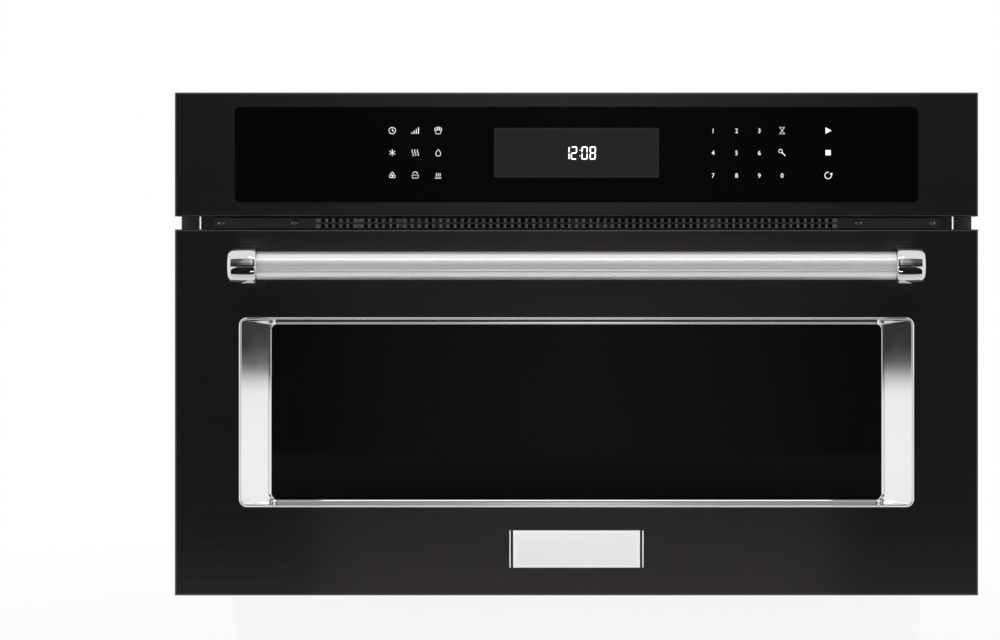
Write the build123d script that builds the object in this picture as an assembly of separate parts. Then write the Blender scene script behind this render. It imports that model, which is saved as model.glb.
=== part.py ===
from build123d import *
from math import cos, radians, sin
import os

# Built-in microwave oven with a drop-down door, for a 30 inch wide opening.
# Millimetres. X is to the right, Y to the back, Z up, and the front faces -Y.
# The origin is on the cabinet's shelf, at the middle of the cabinet's front plane.

# Front
front_width = 755.65
door_height = 344.3
vent_gap = 12.1
panel_height = 116.7
overall_depth = 546.1
door_drop = 12.0  # how far the door hangs below the shelf
face_forward = 40.0  # door and panel faces ahead of the cabinet's front plane
handle_reach = 62.0  # handle's foremost point ahead of the door's face
skin = 1.0
skin_bend = 2.0

# Fits
slip = 0.3  # gap between pieces that nest or pass
shaft_gap = 0.05  # radial gap of a pin or shaft in its hole

# Chassis
sheet = 1.0
frame_sheet = 1.5
frame_inset = 1.8  # front frame stops this far inside the door's edges
frame_top_inset = 6.0
flange_overhang = 18.8  # front frame reaches this far past the chassis side
chassis_top_drop = 14.0  # chassis top below the frame's top edge
chassis_bend = 4.0
rear_recess = 4.0  # rear panel set in from the chassis edge
base_flange = 14.0
base_rib_width = 10.0
base_rib_rise = 3.0
base_rib_inset = 40.0
base_rib_pitch = 170.0
mount_hole = 2.75
mount_hole_inset = 9.0
mount_hole_low = 30.0
mount_hole_pitch = 270.0
sight_slot = 3.0
sight_slot_height = 28.0

# Vent slots pressed in the wrapper and the rear panel
louvre_width = 4.0
louvre_height = 56.0
louvre_pitch = 13.0
louvre_count = 9
louvre_top = 36.0

# Stiffening forms pressed in the wrapper and the rear panel
press_depth = 2.0
press_corner = 12.0
side_press_low = 60.0
side_press_high = 235.0
side_press_front = 60.0
side_press_rear = 60.0  # from the wrapper's rear edge
top_bead_width = 14.0
top_bead_margin = 70.0  # from the wrapper's sides
top_bead_front = 60.0
top_bead_pitch = 150.0
top_bead_count = 3
motor_boss_margin = 34.0  # rear panel's round boss outside the convection motor

# Oven cavity
side_bay = 85.2  # clear width beside the cavity
cavity_floor = 50.0
cavity_head = 57.3  # cavity ceiling below the door's top edge
cavity_corner = 12.0
cavity_flange = 11.0
lamp_hole = 3.0
lamp_hole_pitch = 9.0
lamp_holes = 4
lamp_height = 150.0
lamp_y = 110.0
lamp_box = 44.0
lamp_box_depth = 34.0
lamp_socket = 7.0
lamp_socket_length = 10.0
bulb_radius = 6.0
bulb_length = 14.0
bulb_round = 4.5

# Convection system behind the cavity
chamber_inset = 18.5  # chamber inside the cavity's height, top and bottom
chamber_depth = 44.0
chamber_flange = 8.0
heater_inset = 12.0  # heater's ring inside the chamber
heater_tube = 3.4
heater_gap_angle = 24.0
fan_inset = 16.0  # fan inside the heater's ring
fan_vane = 22.0
fan_vane_count = 12
fan_vane_lean = 28.0
fan_plate = 1.5
fan_shaft = 4.0
motor_radius = 30.0
convection_motor_length = 36.0
motor_rear_clear = 2.0
cover_plate = 1.2
cover_lap = 8.0
cover_rise = 8.0
cover_slot_width = 3.0
cover_dish_slope = 30
cover_slots_inner = (20.0, 10, 10.0)  # radius, count, length
cover_slots_middle = (41.0, 18, 13.0)
cover_slots_outer_count = 30
cover_slots_outer_length = 17.0
fan_behind = 8.0  # fan plate ahead of the chamber's rear wall
fan_vane_start = 30.0
fan_hub = 10.0
motor_ear = 8.0
motor_ear_half_width = 7.0
motor_ear_sheet = 2.0
motor_chamfer = 2.0

# Turntable
tray_clear = 3.35  # between the tray and the convection cover
tray_rim_run = 27.0
tray_glass = 5.0
tray_rim_rise = 11.0
tray_rim_round = 2.2
tray_relief = 0.8  # the tray's track and hub below the rest of its underside
tray_hub_margin = 2.0
tray_track_margin = 2.5
coupler_shaft = 4.0
coupler_hub = 18.0
coupler_lobe = 6.0
coupler_middle = 10.8
turntable_motor_radius = 28.0
turntable_motor_height = 20.0
motor_socket = 7.0
wheel_radius = 7.0
wheel_width = 6.0
wheel_axle = 2.0
wheel_count = 3
axle_cap = 3.2
axle_cap_length = 1.5
ring_inner = 96.0
ring_width = 8.0
ring_height = 6.0

# Upper bay
deck_lift = 15.0  # component deck above the cavity's ceiling
deck_flange = 20.0
guide_width = 90.0
guide_height = 45.0
guide_length = 170.0
guide_sheet = 1.2
guide_start_x = 100.0
guide_middle_y = 250.0
guide_flange = 6.0
mouth_length = 60.0
mica_plate = 0.8
mica_overlap = 9.0
magnetron_from_end = 40.0
yoke_width = 94.0
yoke_depth = 80.0
yoke_height = 58.0
yoke_sheet = 1.6
filter_box_height = 30.0
filter_box_inset = 3.2
filter_plug_inset = 16.0
filter_plug_reach = 6.4
filter_plug_low = 3.2
filter_plug_height = 16.0
anode_radius = 20.0
aerial_radius = 9.0
aerial_length = 22.0
aerial_gap = 2.0
aerial_round = 3.0
fin_count = 6
fin_sheet = 0.8
fin_edge_clear = 3.0
blower_size = 122.0
blower_x = 40.0
blower_radius = 55.0
blower_hub = 19.0
blower_blades = 7
blower_blade_sheet = 1.6
blower_depth = 22.0
blower_motor_radius = 17.0
blower_motor_length = 24.0
shroud_wall = 2.0
shroud_corner = 4.0
throat_gap = 2.0
spoke_sheet = 3.0
spoke_width = 8.0
spoke_count = 3
motor_hole = 4.0
blower_motor_stack = 42.5
blower_motor_inset = 4.0
blower_front_clear = 5.0  # between the spokes and the blades
blower_back_clear = 2.0
blower_root_angle = 38.0
blower_tip_angle = 62.0
blower_root_width = 14.0
blower_tip_width = 25.0
blower_root_sink = 3.0
duct_height = 62.0
duct_width = 84.0
transformer_x = -100.0
transformer_y = 250.0
transformer_foot = 9.0
transformer_foot_sheet = 2.0
transformer_width = 108.0
transformer_depth = 64.0
transformer_height = 90.0
transformer_window = 18.0
winding_reach = 20.0
capacitor_length = 54.0
capacitor_width = 35.0
capacitor_height = 100.0
capacitor_x = -210.0
capacitor_y = 330.0
terminal_radius = 3.0
terminal_height = 8.0
terminal_pitch = 21.6
strap_low = 34.0
strap_width = 16.0
strap_sheet = 1.0
board_sheet = 1.6
board_lift = 8.0
board_post = 3.0
board_post_inset = 6.0
power_board_length = 150.0
power_board_width = 110.0
board_side_clear = 31.225  # power board from the chassis's inner side
power_board_y = 110.0
power_board_lumps = (("square", -48, 27, 30, 24), ("square", -8, 30, 22, 15), ("square", 22, 30, 22, 15),
                     ("square", 52, 30, 22, 15), ("round", -41, -22, 14, 22), ("round", -15, -25, 10, 16),
                     ("square", 22, -22, 26, 5), ("square", 54, -33, 16, 10))
filter_board_length = 80.0
filter_board_width = 60.0
filter_side_clear = 16.225
filter_rear_clear = 24.1
filter_board_lumps = (("round", -16, 0, 26, 14), ("square", 12, 12, 20, 12), ("square", 16, -13, 22, 8),
                      ("round", 32, 3, 10, 10))
gland_radius = 8.0
gland_collar = 12.0
gland_bore = 5.0
gland_nut = 4.0
gland_proud = 3.0
gland_side = 66.225  # gland from the chassis's inner side
gland_above_deck = 38.0

# Control panel
glass_side = 57.225  # control glass from the panel's side edge
glass_height = 88.2
glass_drop = 14.4  # control glass below the panel's top edge
glass_corner = 4.0
glass_thickness = 4.0
glass_gap = 0.8
glass_bevel = 0.5
carrier_sheet = 2.5
carrier_lap = 5.0
carrier_post = 8.0
carrier_post_inset = 24.0
display_width = 154.5
display_height = 46.4
display_drop = 56.7  # middle of the display below the panel's top edge
display_depth = 12.0
display_margin = 4.0
display_connector = 31.0
panel_lower_return = 22.0

# Vent strip
strip_inset = 11.225  # strip's end from the chassis's inner side
strip_lap = 8.0  # strip reaches this far behind the door and the panel
strip_sheet = 1.5
strip_plain_end = 97.0  # unperforated length at each end
perforation_pitch = 6.8
perforation_width = 4.2
perforation_height = 3.2
perforation_row_pitch = 5.4
exhaust_slot_height = 8.0
exhaust_slots = 4
exhaust_bridge = 16.0
screw_end_inset = 7.0
screw_pitch = 69.6
screw_head = 3.4
screw_head_height = 1.4
screw_head_round = 0.6
screw_shank = 1.6
screw_length = 8.0

# Door
bezel_side_margin = 60.325  # bezel from the door's side edge
bezel_top_margin = 82.6
bezel_rise = 83.0  # bezel above the door's lower edge
bezel_corner = 7.5
bezel_side = 29.8
bezel_end = 6.7
bezel_inner_corner = 5.6
bezel_depth = 9.0
bezel_wall = 2.0
bezel_bead = 2.4
bezel_bead_rise = 0.8
bezel_lip = 2.4  # lip round the glass
bezel_lip_rise = 1.1
bezel_round = 0.7
bezel_flange = 5.0
bezel_flange_sheet = 1.5
window_thickness = 4.0
window_lap = 5.0
door_gap = 1.0  # between the choke cover and the front frame
choke_cover_sheet = 1.5
choke_band = 24.0  # choke channel reaches this far outside the cavity's opening
choke_front_clear = 3.0
screen_inset = 14.0  # window in the door body inside the cavity's opening
screen_lap = 5.0
screen_sheet = 0.6
inner_glass_thickness = 3.0
inner_glass_inset = 2.0
cover_lip = 8.0
cover_outer_lap = 6.0
body_sheet = 1.0
body_flange = 12.0
body_bend = 3.0
skin_back_gap = 4.0  # skin's returns stop this far ahead of the rear plate

# Handle and plate
handle_drop = 33.8  # handle's axis below the door's top edge
tube_radius = 13.0
tube_wall = 1.5
tube_socket = 5.0
post_side = 54.125  # handle post from the door's side edge
post_width = 28.4
post_radius = 17.2
post_taper = 1.0  # the barrel's ends are this much thinner in radius than its middle
post_crown = 4.6
post_bevel = 2.1
post_edge_round = 0.8
leg_above = 19.5  # leg at the door, above the handle's axis
leg_below = 16.5
leg_corner = 8.0
leg_foot = 4.0
leg_waist = 12.0  # leg's half height inside the barrel
leg_waist_inset = 4.0
leg_waist_corner = 5.0
plate_width = 126.0
plate_height = 34.8
plate_rise = 26.5
plate_thickness = 2.4
plate_lip = 1.2
plate_channel = 2.0
plate_channel_depth = 1.4
plate_edge = 0.35

# Hinges
pivot_up = 8.0  # hinge axis above the door's lower edge
pivot_ahead = 6.0  # hinge axis ahead of the door body's rear face
hinge_inset = 11.225  # hinge from the chassis's inner side
claw_sheet = 3.5
claw_eye = 6.0
claw_lean = 53.0  # where the arm's upper edge leaves the eye, above level
claw_low = 2.0
claw_arm = 12.0
claw_plate_height = 58.0
claw_plate_depth = 16.0
claw_foot = 12.0
claw_foot_sheet = 1.5
claw_foot_gap = 2.0
channel_sheet = 1.6
channel_height = 130.0
channel_depth = 28.0
pin_radius = 3.0
pin_head = 4.6
pin_head_length = 1.4

# Latch
hook_inset = 21.225  # latch hook from the chassis's inner side
hook_width = 6.0
hook_reach = 42.3
hook_arm = 4.0
hook_head = 12.0
hook_above = 7.0
hook_below = 8.0
latch_bar_clear = 3.0  # between the choke and the latch bar
latch_ahead = 15.0  # latch axis ahead of the rear plate
latch_bar_sheet = 3.0
latch_bar_height = 10.0
latch_stub = 2.5
ear_sheet = 1.5
ear_below = 7.0
ear_above = 6.0
slot_above = 14.0
slot_below = 9.5
switch_width = 10.3
switch_depth = 28.0
switch_height = 16.0
plunger_radius = 1.6
plunger_stand = 3.0
plunger_length = 9.0
bracket_sheet = 2.0
bracket_foot = 12.0
catch_gap = 2.0
catch_depth = 14.0
catch_sheet = 4.0
bracket_head = 2.0
terminal_tab_width = 0.8
terminal_tab_height = 4.0
terminal_tab_length = 8.0
plunger_room = 2.0

# Places worked out from the sizes above
half_front = front_width / 2
face_y = -face_forward
back_y = face_y - handle_reach + overall_depth
door_bottom = -door_drop
door_top = door_bottom + door_height
panel_bottom = door_top + vent_gap
panel_top = panel_bottom + panel_height
frame_front = -frame_sheet
half_frame = half_front - frame_inset
frame_top = panel_top - frame_top_inset
half_chassis = half_frame - flange_overhang
chassis_top = frame_top - chassis_top_drop
chassis_inner = half_chassis - sheet
hinge_x = chassis_inner - hinge_inset
hook_x = chassis_inner - hook_inset
strip_half = chassis_inner - strip_inset
perforated_half = strip_half - strip_plain_end
screw_outer_x = strip_half - screw_end_inset
screw_places = (-screw_outer_x, screw_pitch - screw_outer_x, screw_outer_x - screw_pitch, screw_outer_x)
glass_width = front_width - 2 * glass_side
bezel_width = front_width - 2 * bezel_side_margin
bezel_height = door_height - bezel_rise - bezel_top_margin
post_inner_x = half_front - post_side - post_width
rear_face = back_y - rear_recess
rear_inner = rear_face - sheet
cavity_half = chassis_inner - side_bay - sheet
cavity_top = door_top - cavity_head
cavity_middle = (cavity_floor + cavity_top) / 2
chamber_radius = cavity_top - cavity_middle - chamber_inset
heater_radius = chamber_radius - heater_inset
fan_radius = heater_radius - fan_inset
cover_radius = chamber_radius + cover_lap
motor_front = rear_inner - motor_rear_clear - convection_motor_length
chamber_front = motor_front - sheet - chamber_depth
cavity_back = chamber_front - sheet
turntable_y = cavity_back / 2
tray_radius = turntable_y - cover_plate - cover_rise - tray_clear
tray_flat_radius = tray_radius - tray_rim_run
guide_bottom = cavity_top + sheet
guide_top = guide_bottom + guide_height
deck_bottom = guide_bottom + deck_lift
deck_top = deck_bottom + sheet
power_board_x = board_side_clear + power_board_length / 2 - chassis_inner
filter_board_x = filter_side_clear + filter_board_length / 2 - chassis_inner
filter_board_y = rear_inner - filter_rear_clear - filter_board_width / 2
gland_x = gland_side - chassis_inner
gland_height = deck_top + gland_above_deck
magnetron_x = guide_start_x + guide_length - magnetron_from_end
body_rear = frame_front - door_gap - choke_cover_sheet
body_plate_front = body_rear - body_sheet
pivot_y = body_rear - pivot_ahead
pivot_z = door_bottom + pivot_up
bezel_bottom = door_bottom + bezel_rise
bezel_top = bezel_bottom + bezel_height
window_front = face_y + bezel_depth + bezel_wall
window_back = window_front + window_thickness
choke_front = window_back + choke_front_clear
choke_half = cavity_half + choke_band
choke_bottom = cavity_floor - choke_band
choke_top = cavity_top + choke_band
inner_glass_rear = body_rear
inner_glass_front = inner_glass_rear - inner_glass_thickness
inner_plate_front = inner_glass_front - body_sheet
screen_front = inner_plate_front - screen_sheet
handle_y = face_y - handle_reach + post_radius
handle_z = door_top - handle_drop
latch_y = body_plate_front - latch_ahead
latch_z = choke_top + body_sheet + latch_bar_clear + latch_bar_height / 2
vent_middle = (door_top + panel_bottom) / 2
strip_front = frame_front - strip_sheet
glass_top = panel_top - glass_drop
glass_bottom = glass_top - glass_height
glass_back = face_y + glass_thickness
carrier_back = glass_back + carrier_sheet
wheel_z = cavity_floor + slip + wheel_radius
tray_bottom = wheel_z + wheel_radius + slip
ring_outer = ring_inner + ring_width
switch_front = latch_y + hook_reach + slip + plunger_stand
bracket_x = hook_x + switch_width / 2


# Shapes that the pieces are made from

def rect(x0, x1, z0, z1, corner=0.0):
    shape = RectangleRounded(x1 - x0, z1 - z0, corner) if corner else Rectangle(x1 - x0, z1 - z0)
    return Pos((x0 + x1) / 2, (z0 + z1) / 2) * shape


def slab(outline, front, back):
    # outline in X and Z, thick along Y
    return extrude(Plane.XZ.offset(-back) * outline, amount=back - front)


def bar(outline, x0, x1):
    # outline in Y and Z, long along X
    return extrude(Plane.YZ.offset(x0) * outline, amount=x1 - x0)


def tier(outline, z0, z1):
    # outline in X and Y, thick along Z
    return extrude(Plane.XY.offset(z0) * outline, amount=z1 - z0)


def block(x0, x1, y0, y1, z0, z1):
    return Pos((x0 + x1) / 2, (y0 + y1) / 2, (z0 + z1) / 2) * Box(x1 - x0, y1 - y0, z1 - z0)


def disc_y(x, z, radius, front, back):
    return slab(Pos(x, z) * Circle(radius), front, back)


def disc_x(y, z, radius, x0, x1):
    return bar(Pos(y, z) * Circle(radius), x0, x1)


def disc_z(x, y, radius, z0, z1):
    return tier(Pos(x, y) * Circle(radius), z0, z1)


def other_side(piece):
    return mirror(piece, about=Plane.YZ)


def row(count, pitch):
    # places of count copies, centred on zero
    return [(index - (count - 1) / 2) * pitch for index in range(count)]


def along_y(piece):
    return piece.edges().filter_by(Axis.Y)


# Chassis

def base_pan():
    pan = block(-chassis_inner, chassis_inner, 0, rear_face, 0, sheet)
    pan += block(-chassis_inner, sheet - chassis_inner, 0, rear_inner, sheet, base_flange)
    pan += block(chassis_inner - sheet, chassis_inner, 0, rear_inner, sheet, base_flange)
    for x in row(4, base_rib_pitch):
        pan += block(x - base_rib_width / 2, x + base_rib_width / 2, base_rib_inset,
                     rear_inner - base_rib_inset, sheet, sheet + base_rib_rise)
    for x in row(louvre_count, louvre_pitch):
        pan -= block(x - louvre_width / 2, x + louvre_width / 2, base_rib_inset,
                     base_rib_inset + louvre_height, -1, sheet + 1)
    return pan


def outer_wrapper():
    inside_top = chassis_top - sheet
    wrap = slab(rect(-half_chassis, half_chassis, 0, chassis_top), 0, back_y)
    wrap = fillet(along_y(wrap).group_by(Axis.Z)[-1], chassis_bend)
    hollow = slab(rect(-chassis_inner, chassis_inner, -chassis_top, inside_top), -1, back_y + 1)
    hollow = fillet(along_y(hollow).group_by(Axis.Z)[-1], chassis_bend - sheet)
    wrap -= hollow
    slot_top = chassis_top - louvre_top
    for y in row(louvre_count, louvre_pitch):
        y += guide_middle_y
        cut = block(-half_chassis - 1, half_chassis + 1, y - louvre_width / 2, y + louvre_width / 2,
                    slot_top - louvre_height, slot_top)
        wrap -= cut
    return pressed_top(pressed_sides(wrap))


def pressed_sides(wrap):
    # a broad panel sunk in each side
    def outline(grow):
        return rect(side_press_front - grow, back_y - side_press_rear + grow, side_press_low - grow,
                    side_press_high + grow, press_corner + grow)
    sunk = half_chassis - press_depth
    behind = bar(outline(sheet), sunk - sheet, chassis_inner)
    ahead = bar(outline(0), sunk, half_chassis + 1)
    return wrap + behind + other_side(behind) - ahead - other_side(ahead)


def pressed_top(wrap):
    # long beads sunk across the top
    half = chassis_inner - top_bead_margin
    sunk = chassis_top - press_depth
    for index in range(top_bead_count):
        y = top_bead_front + index * top_bead_pitch
        behind = SlotOverall(2 * half + 2 * sheet, top_bead_width + 2 * sheet)
        wrap += tier(Pos(0, y) * behind, sunk - sheet, chassis_top - sheet)
        wrap -= tier(Pos(0, y) * SlotOverall(2 * half, top_bead_width), sunk, chassis_top + 1)
    return wrap


def rear_panel():
    panel = slab(rect(-chassis_inner, chassis_inner, sheet, chassis_top - chassis_bend), rear_inner,
                 rear_face)
    panel += slab(rect(-chassis_inner + chassis_bend, chassis_inner - chassis_bend,
                       chassis_top - chassis_bend, chassis_top - sheet), rear_inner, rear_face)
    boss_radius = motor_radius + motor_boss_margin
    panel += disc_y(0, cavity_middle, boss_radius + sheet, rear_face, rear_face + press_depth)
    panel -= disc_y(0, cavity_middle, boss_radius, rear_inner - 1, rear_inner + press_depth)
    panel -= disc_y(gland_x, gland_height, gland_radius, rear_inner - 1, rear_face + 1)
    slot_top = chassis_top - louvre_top
    for middle in (blower_x, -transformer_width):
        for x in row(louvre_count, louvre_pitch):
            x += middle
            slot = rect(x - louvre_width / 2, x + louvre_width / 2, slot_top - louvre_height, slot_top)
            panel -= slab(slot, rear_inner - 1, rear_face + 1)
    for x in row(louvre_count, louvre_pitch):
        panel -= slab(rect(x - louvre_width / 2, x + louvre_width / 2, cavity_middle - louvre_height / 2,
                           cavity_middle + louvre_height / 2), rear_inner - 1, rear_face + press_depth + 1)
    return panel


def front_frame():
    through = (frame_front - 1, 1)
    frame = slab(rect(-half_frame, half_frame, 0, frame_top), frame_front, 0)
    frame -= slab(rect(-cavity_half, cavity_half, cavity_floor, cavity_top, cavity_corner), *through)
    slot_span = (2 * perforated_half + exhaust_bridge) / exhaust_slots
    for x in row(exhaust_slots, slot_span):
        half = (slot_span - exhaust_bridge) / 2
        frame -= slab(rect(x - half, x + half, vent_middle - exhaust_slot_height / 2,
                           vent_middle + exhaust_slot_height / 2), *through)
    for side in (-1, 1):
        sight_x = side * (half_chassis + slip + sight_slot / 2)
        hole_x = side * (half_frame - mount_hole_inset)
        claw_half = claw_sheet / 2 + slip
        hook_half = hook_width / 2 + 2 * slip
        sight = rect(sight_x - sight_slot / 2, sight_x + sight_slot / 2, vent_middle - sight_slot_height / 2,
                     vent_middle + sight_slot_height / 2)
        frame -= slab(sight, *through)
        for z in (mount_hole_low, mount_hole_low + mount_hole_pitch):
            frame -= disc_y(hole_x, z, mount_hole, *through)
        frame -= slab(rect(side * hinge_x - claw_half, side * hinge_x + claw_half, claw_low - slip,
                           claw_low + claw_arm + slip), *through)
        frame -= slab(rect(side * hook_x - hook_half, side * hook_x + hook_half, latch_z - slot_below,
                           latch_z + slot_above), *through)
    for x in screw_places:
        frame -= disc_y(x, vent_middle, screw_shank + shaft_gap, *through)
    return frame


def component_deck():
    deck = block(-chassis_inner, chassis_inner, sheet, rear_inner, deck_bottom, deck_top)
    for side in (-1, 1):
        edge = side * (chassis_inner - sheet / 2)
        deck += block(edge - sheet / 2, edge + sheet / 2, sheet, rear_inner, deck_bottom - deck_flange,
                      deck_bottom)
    half_guide = guide_width / 2 + guide_flange + slip
    deck -= block(guide_start_x - guide_flange - slip, guide_start_x + guide_length + guide_flange + slip,
                  guide_middle_y - half_guide, guide_middle_y + half_guide, deck_bottom - 1, deck_top + 1)
    for side in (-1, 1):
        deck -= block(side * hook_x - bracket_clear(), side * hook_x + bracket_clear(), 0,
                      switch_front + 2 * switch_depth, deck_bottom - deck_flange - 1, deck_top + 1)
    return deck


def bracket_clear():
    # half width of the notch that leaves the deck clear of an interlock bracket
    return half_chassis - hook_x + sheet


# Oven cavity and what heats it

def oven_cavity():
    inner = rect(-cavity_half, cavity_half, cavity_floor, cavity_top, cavity_corner)
    outer = rect(-cavity_half - sheet, cavity_half + sheet, cavity_floor - sheet, cavity_top + sheet,
                 cavity_corner + sheet)
    wide = sheet + cavity_flange
    flange = rect(-cavity_half - wide, cavity_half + wide, cavity_floor - wide, cavity_top + wide,
                  cavity_corner)
    cavity = slab(outer, 0, cavity_back + sheet) + slab(flange, 0, sheet)
    cavity -= slab(inner, -1, cavity_back)
    cavity -= disc_y(0, cavity_middle, chamber_radius - sheet, cavity_back - 1, cavity_back + sheet + 1)
    cavity -= disc_z(0, turntable_y, coupler_shaft + 2 * sheet, cavity_floor - sheet - 1, cavity_floor + 1)
    mouth = rect(guide_start_x, guide_start_x + mouth_length, guide_middle_y - guide_width / 2 + guide_sheet,
                 guide_middle_y + guide_width / 2 - guide_sheet)
    cavity -= tier(mouth, cavity_top - 1, cavity_top + sheet + 1)
    for y in row(lamp_holes, lamp_hole_pitch):
        for z in row(lamp_holes, lamp_hole_pitch):
            cavity -= disc_x(lamp_y + y, lamp_height + z, lamp_hole, cavity_half - 1, cavity_half + sheet + 1)
    return cavity


def cavity_lamp():
    x0 = cavity_half + sheet
    half = lamp_box / 2
    shell = block(x0, x0 + lamp_box_depth, lamp_y - half, lamp_y + half, lamp_height - half,
                  lamp_height + half)
    shell -= block(x0 - 1, x0 + lamp_box_depth - sheet, lamp_y - half + sheet, lamp_y + half - sheet,
                   lamp_height - half + sheet, lamp_height + half - sheet)
    bulb_base = x0 + lamp_box_depth - sheet
    bulb_base -= lamp_socket_length
    shell += disc_x(lamp_y, lamp_height, lamp_socket, bulb_base, bulb_base + lamp_socket_length)
    bulb_end = bulb_base - bulb_length
    bulb = disc_x(lamp_y, lamp_height, bulb_radius, bulb_end, bulb_base)
    return shell + fillet(bulb.edges().sort_by(Axis.X)[0], bulb_round)


def mica_cover():
    x0, x1 = guide_start_x - mica_overlap, guide_start_x + mouth_length + mica_overlap
    half = guide_width / 2 + mica_overlap
    return tier(rect(x0, x1, guide_middle_y - half, guide_middle_y + half, mica_overlap),
                cavity_top - mica_plate, cavity_top)


def convection_cover():
    cover = disc_y(0, cavity_middle, cover_radius, cavity_back - cover_plate, cavity_back)
    dish = Pos(0, cavity_middle) * Circle(fan_radius)
    hollow = Pos(0, cavity_middle) * Circle(fan_radius - cover_plate)
    cover += extrude(Plane.XZ.offset(cover_plate - cavity_back) * dish, amount=cover_rise,
                     taper=cover_dish_slope)
    cover -= extrude(Plane.XZ.offset(-cavity_back) * hollow, amount=cover_rise, taper=cover_dish_slope)
    through = (cavity_back - cover_rise - 2 * cover_plate, cavity_back + 1)
    outer_slots = ((fan_radius + chamber_radius) / 2, cover_slots_outer_count, cover_slots_outer_length)
    half = cover_slot_width / 2
    for radius, count, length in (cover_slots_inner, cover_slots_middle, outer_slots):
        slot = slab(rect(radius - length / 2, radius + length / 2, -half, half), *through)
        for index in range(count):
            cover -= Pos(0, 0, cavity_middle) * Rot(0, 360 * index / count, 0) * slot
    return cover


def convection_housing():
    front = cavity_back + sheet
    housing = disc_y(0, cavity_middle, chamber_radius, front, motor_front)
    housing += disc_y(0, cavity_middle, chamber_radius + chamber_flange, front, front + sheet)
    housing -= disc_y(0, cavity_middle, chamber_radius - sheet, front - 1, motor_front - sheet)
    housing -= disc_y(0, cavity_middle, fan_shaft + slip, motor_front - sheet - 1, motor_front + 1)
    for side in (-1, 1):
        x, z = heater_end(side)
        housing -= disc_y(x, z, heater_tube + shaft_gap, motor_front - sheet - 1, motor_front + 1)
    return housing


def heater_end(side):
    # the ring heater's ends lie at the bottom, one each side of the middle
    angle = radians(side * heater_gap_angle / 2)
    return heater_radius * sin(angle), cavity_middle - heater_radius * cos(angle)


def heater_plane():
    return cavity_back + sheet + chamber_depth / 2


def convection_heater():
    y = heater_plane()
    section = Plane.XY * (Pos(heater_radius, 0) * Circle(heater_tube))
    ring = revolve(section, Axis.Y, 360 - heater_gap_angle)
    ring = Pos(0, y, cavity_middle) * Rot(0, 90 + heater_gap_angle / 2, 0) * ring
    for side in (-1, 1):
        x, z = heater_end(side)
        ring += disc_y(x, z, heater_tube, y, motor_front + 2 * heater_tube)
        ring += Pos(x, y, z) * Sphere(heater_tube)
    return ring


def convection_fan():
    plate_y = motor_front - sheet - fan_behind
    fan = disc_y(0, cavity_middle, fan_radius, plate_y - fan_plate, plate_y)
    fan += disc_y(0, cavity_middle, fan_hub, plate_y - fan_plate - fan_vane / 2, plate_y)
    vane = slab(rect(0, fan_radius, -fan_plate / 2, fan_plate / 2), plate_y - fan_vane, plate_y)
    vane = Pos(fan_vane_start, 0, 0) * Rot(0, fan_vane_lean, 0) * vane
    vane &= disc_y(0, 0, fan_radius, plate_y - fan_vane, plate_y)
    for index in range(fan_vane_count):
        fan += Pos(0, 0, cavity_middle) * Rot(0, 360 * index / fan_vane_count, 0) * vane
    return fan + disc_y(0, cavity_middle, fan_shaft, plate_y, motor_front + motor_socket)


def convection_motor():
    rear = motor_front + convection_motor_length
    motor = disc_y(0, cavity_middle, motor_radius, motor_front, rear)
    motor = chamfer(motor.edges().sort_by(Axis.Y)[-1], motor_chamfer)
    ear_end = motor_radius + motor_ear
    motor += slab(rect(-ear_end, ear_end, cavity_middle - motor_ear_half_width,
                       cavity_middle + motor_ear_half_width), motor_front, motor_front + motor_ear_sheet)
    return motor - disc_y(0, cavity_middle, fan_shaft + shaft_gap, motor_front - 1,
                          motor_front + motor_socket + 1)


# Turntable

def turntable_motor():
    top = cavity_floor - sheet
    motor = disc_z(0, turntable_y, turntable_motor_radius, top - turntable_motor_height, top)
    motor = chamfer(motor.edges().sort_by(Axis.Z)[0], motor_chamfer)
    ear_end = turntable_motor_radius + motor_ear
    ears = rect(-ear_end, ear_end, turntable_y - motor_ear_half_width, turntable_y + motor_ear_half_width,
                motor_chamfer)
    motor += tier(ears, top - sheet, top)
    return motor - disc_z(0, turntable_y, coupler_shaft + shaft_gap, top - motor_socket, top + 1)


def turntable_coupler():
    hub_bottom = cavity_floor + 2 * sheet
    coupler = disc_z(0, turntable_y, coupler_shaft, cavity_floor - sheet - motor_socket + slip, hub_bottom)
    hub = Circle(coupler_middle)
    lobe = Pos(coupler_hub - coupler_lobe, 0) * Circle(coupler_lobe)
    lobe += Pos((coupler_hub - coupler_lobe) / 2, 0) * Rectangle(coupler_hub - coupler_lobe, 2 * coupler_lobe)
    for angle in wheel_angles():
        hub += Rot(0, 0, angle) * lobe
    return coupler + tier(Pos(0, turntable_y) * hub, hub_bottom, tray_bottom)


def glass_tray():
    # a dished plate that rides on a track ring and is turned by its hub
    underside = tray_bottom + tray_relief
    top = tray_bottom + tray_glass
    rim_top = top + tray_rim_rise
    points = [(0, underside), (tray_flat_radius, underside), (tray_radius, rim_top - tray_glass),
              (tray_radius, rim_top), (tray_radius - tray_glass, rim_top),
              (tray_flat_radius - tray_glass / 2, top), (0, top)]
    tray = revolve(Plane.XZ * make_face(Polyline(*points, close=True)), Axis.Z)
    tray = fillet(tray.edges().group_by(Axis.Z)[-1], tray_rim_round)
    tray += disc_z(0, 0, coupler_hub + tray_hub_margin, tray_bottom, underside)
    track_inner = wheel_inner() - tray_track_margin
    track_outer = wheel_inner() + wheel_width + tray_track_margin
    tray += tier(Circle(track_outer) - Circle(track_inner), tray_bottom, underside)
    return Pos(0, turntable_y, 0) * tray


def wheel_angles():
    return [90 + 360 * index / wheel_count for index in range(wheel_count)]


def wheel_inner():
    return ring_outer + 2 * slip


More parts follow.
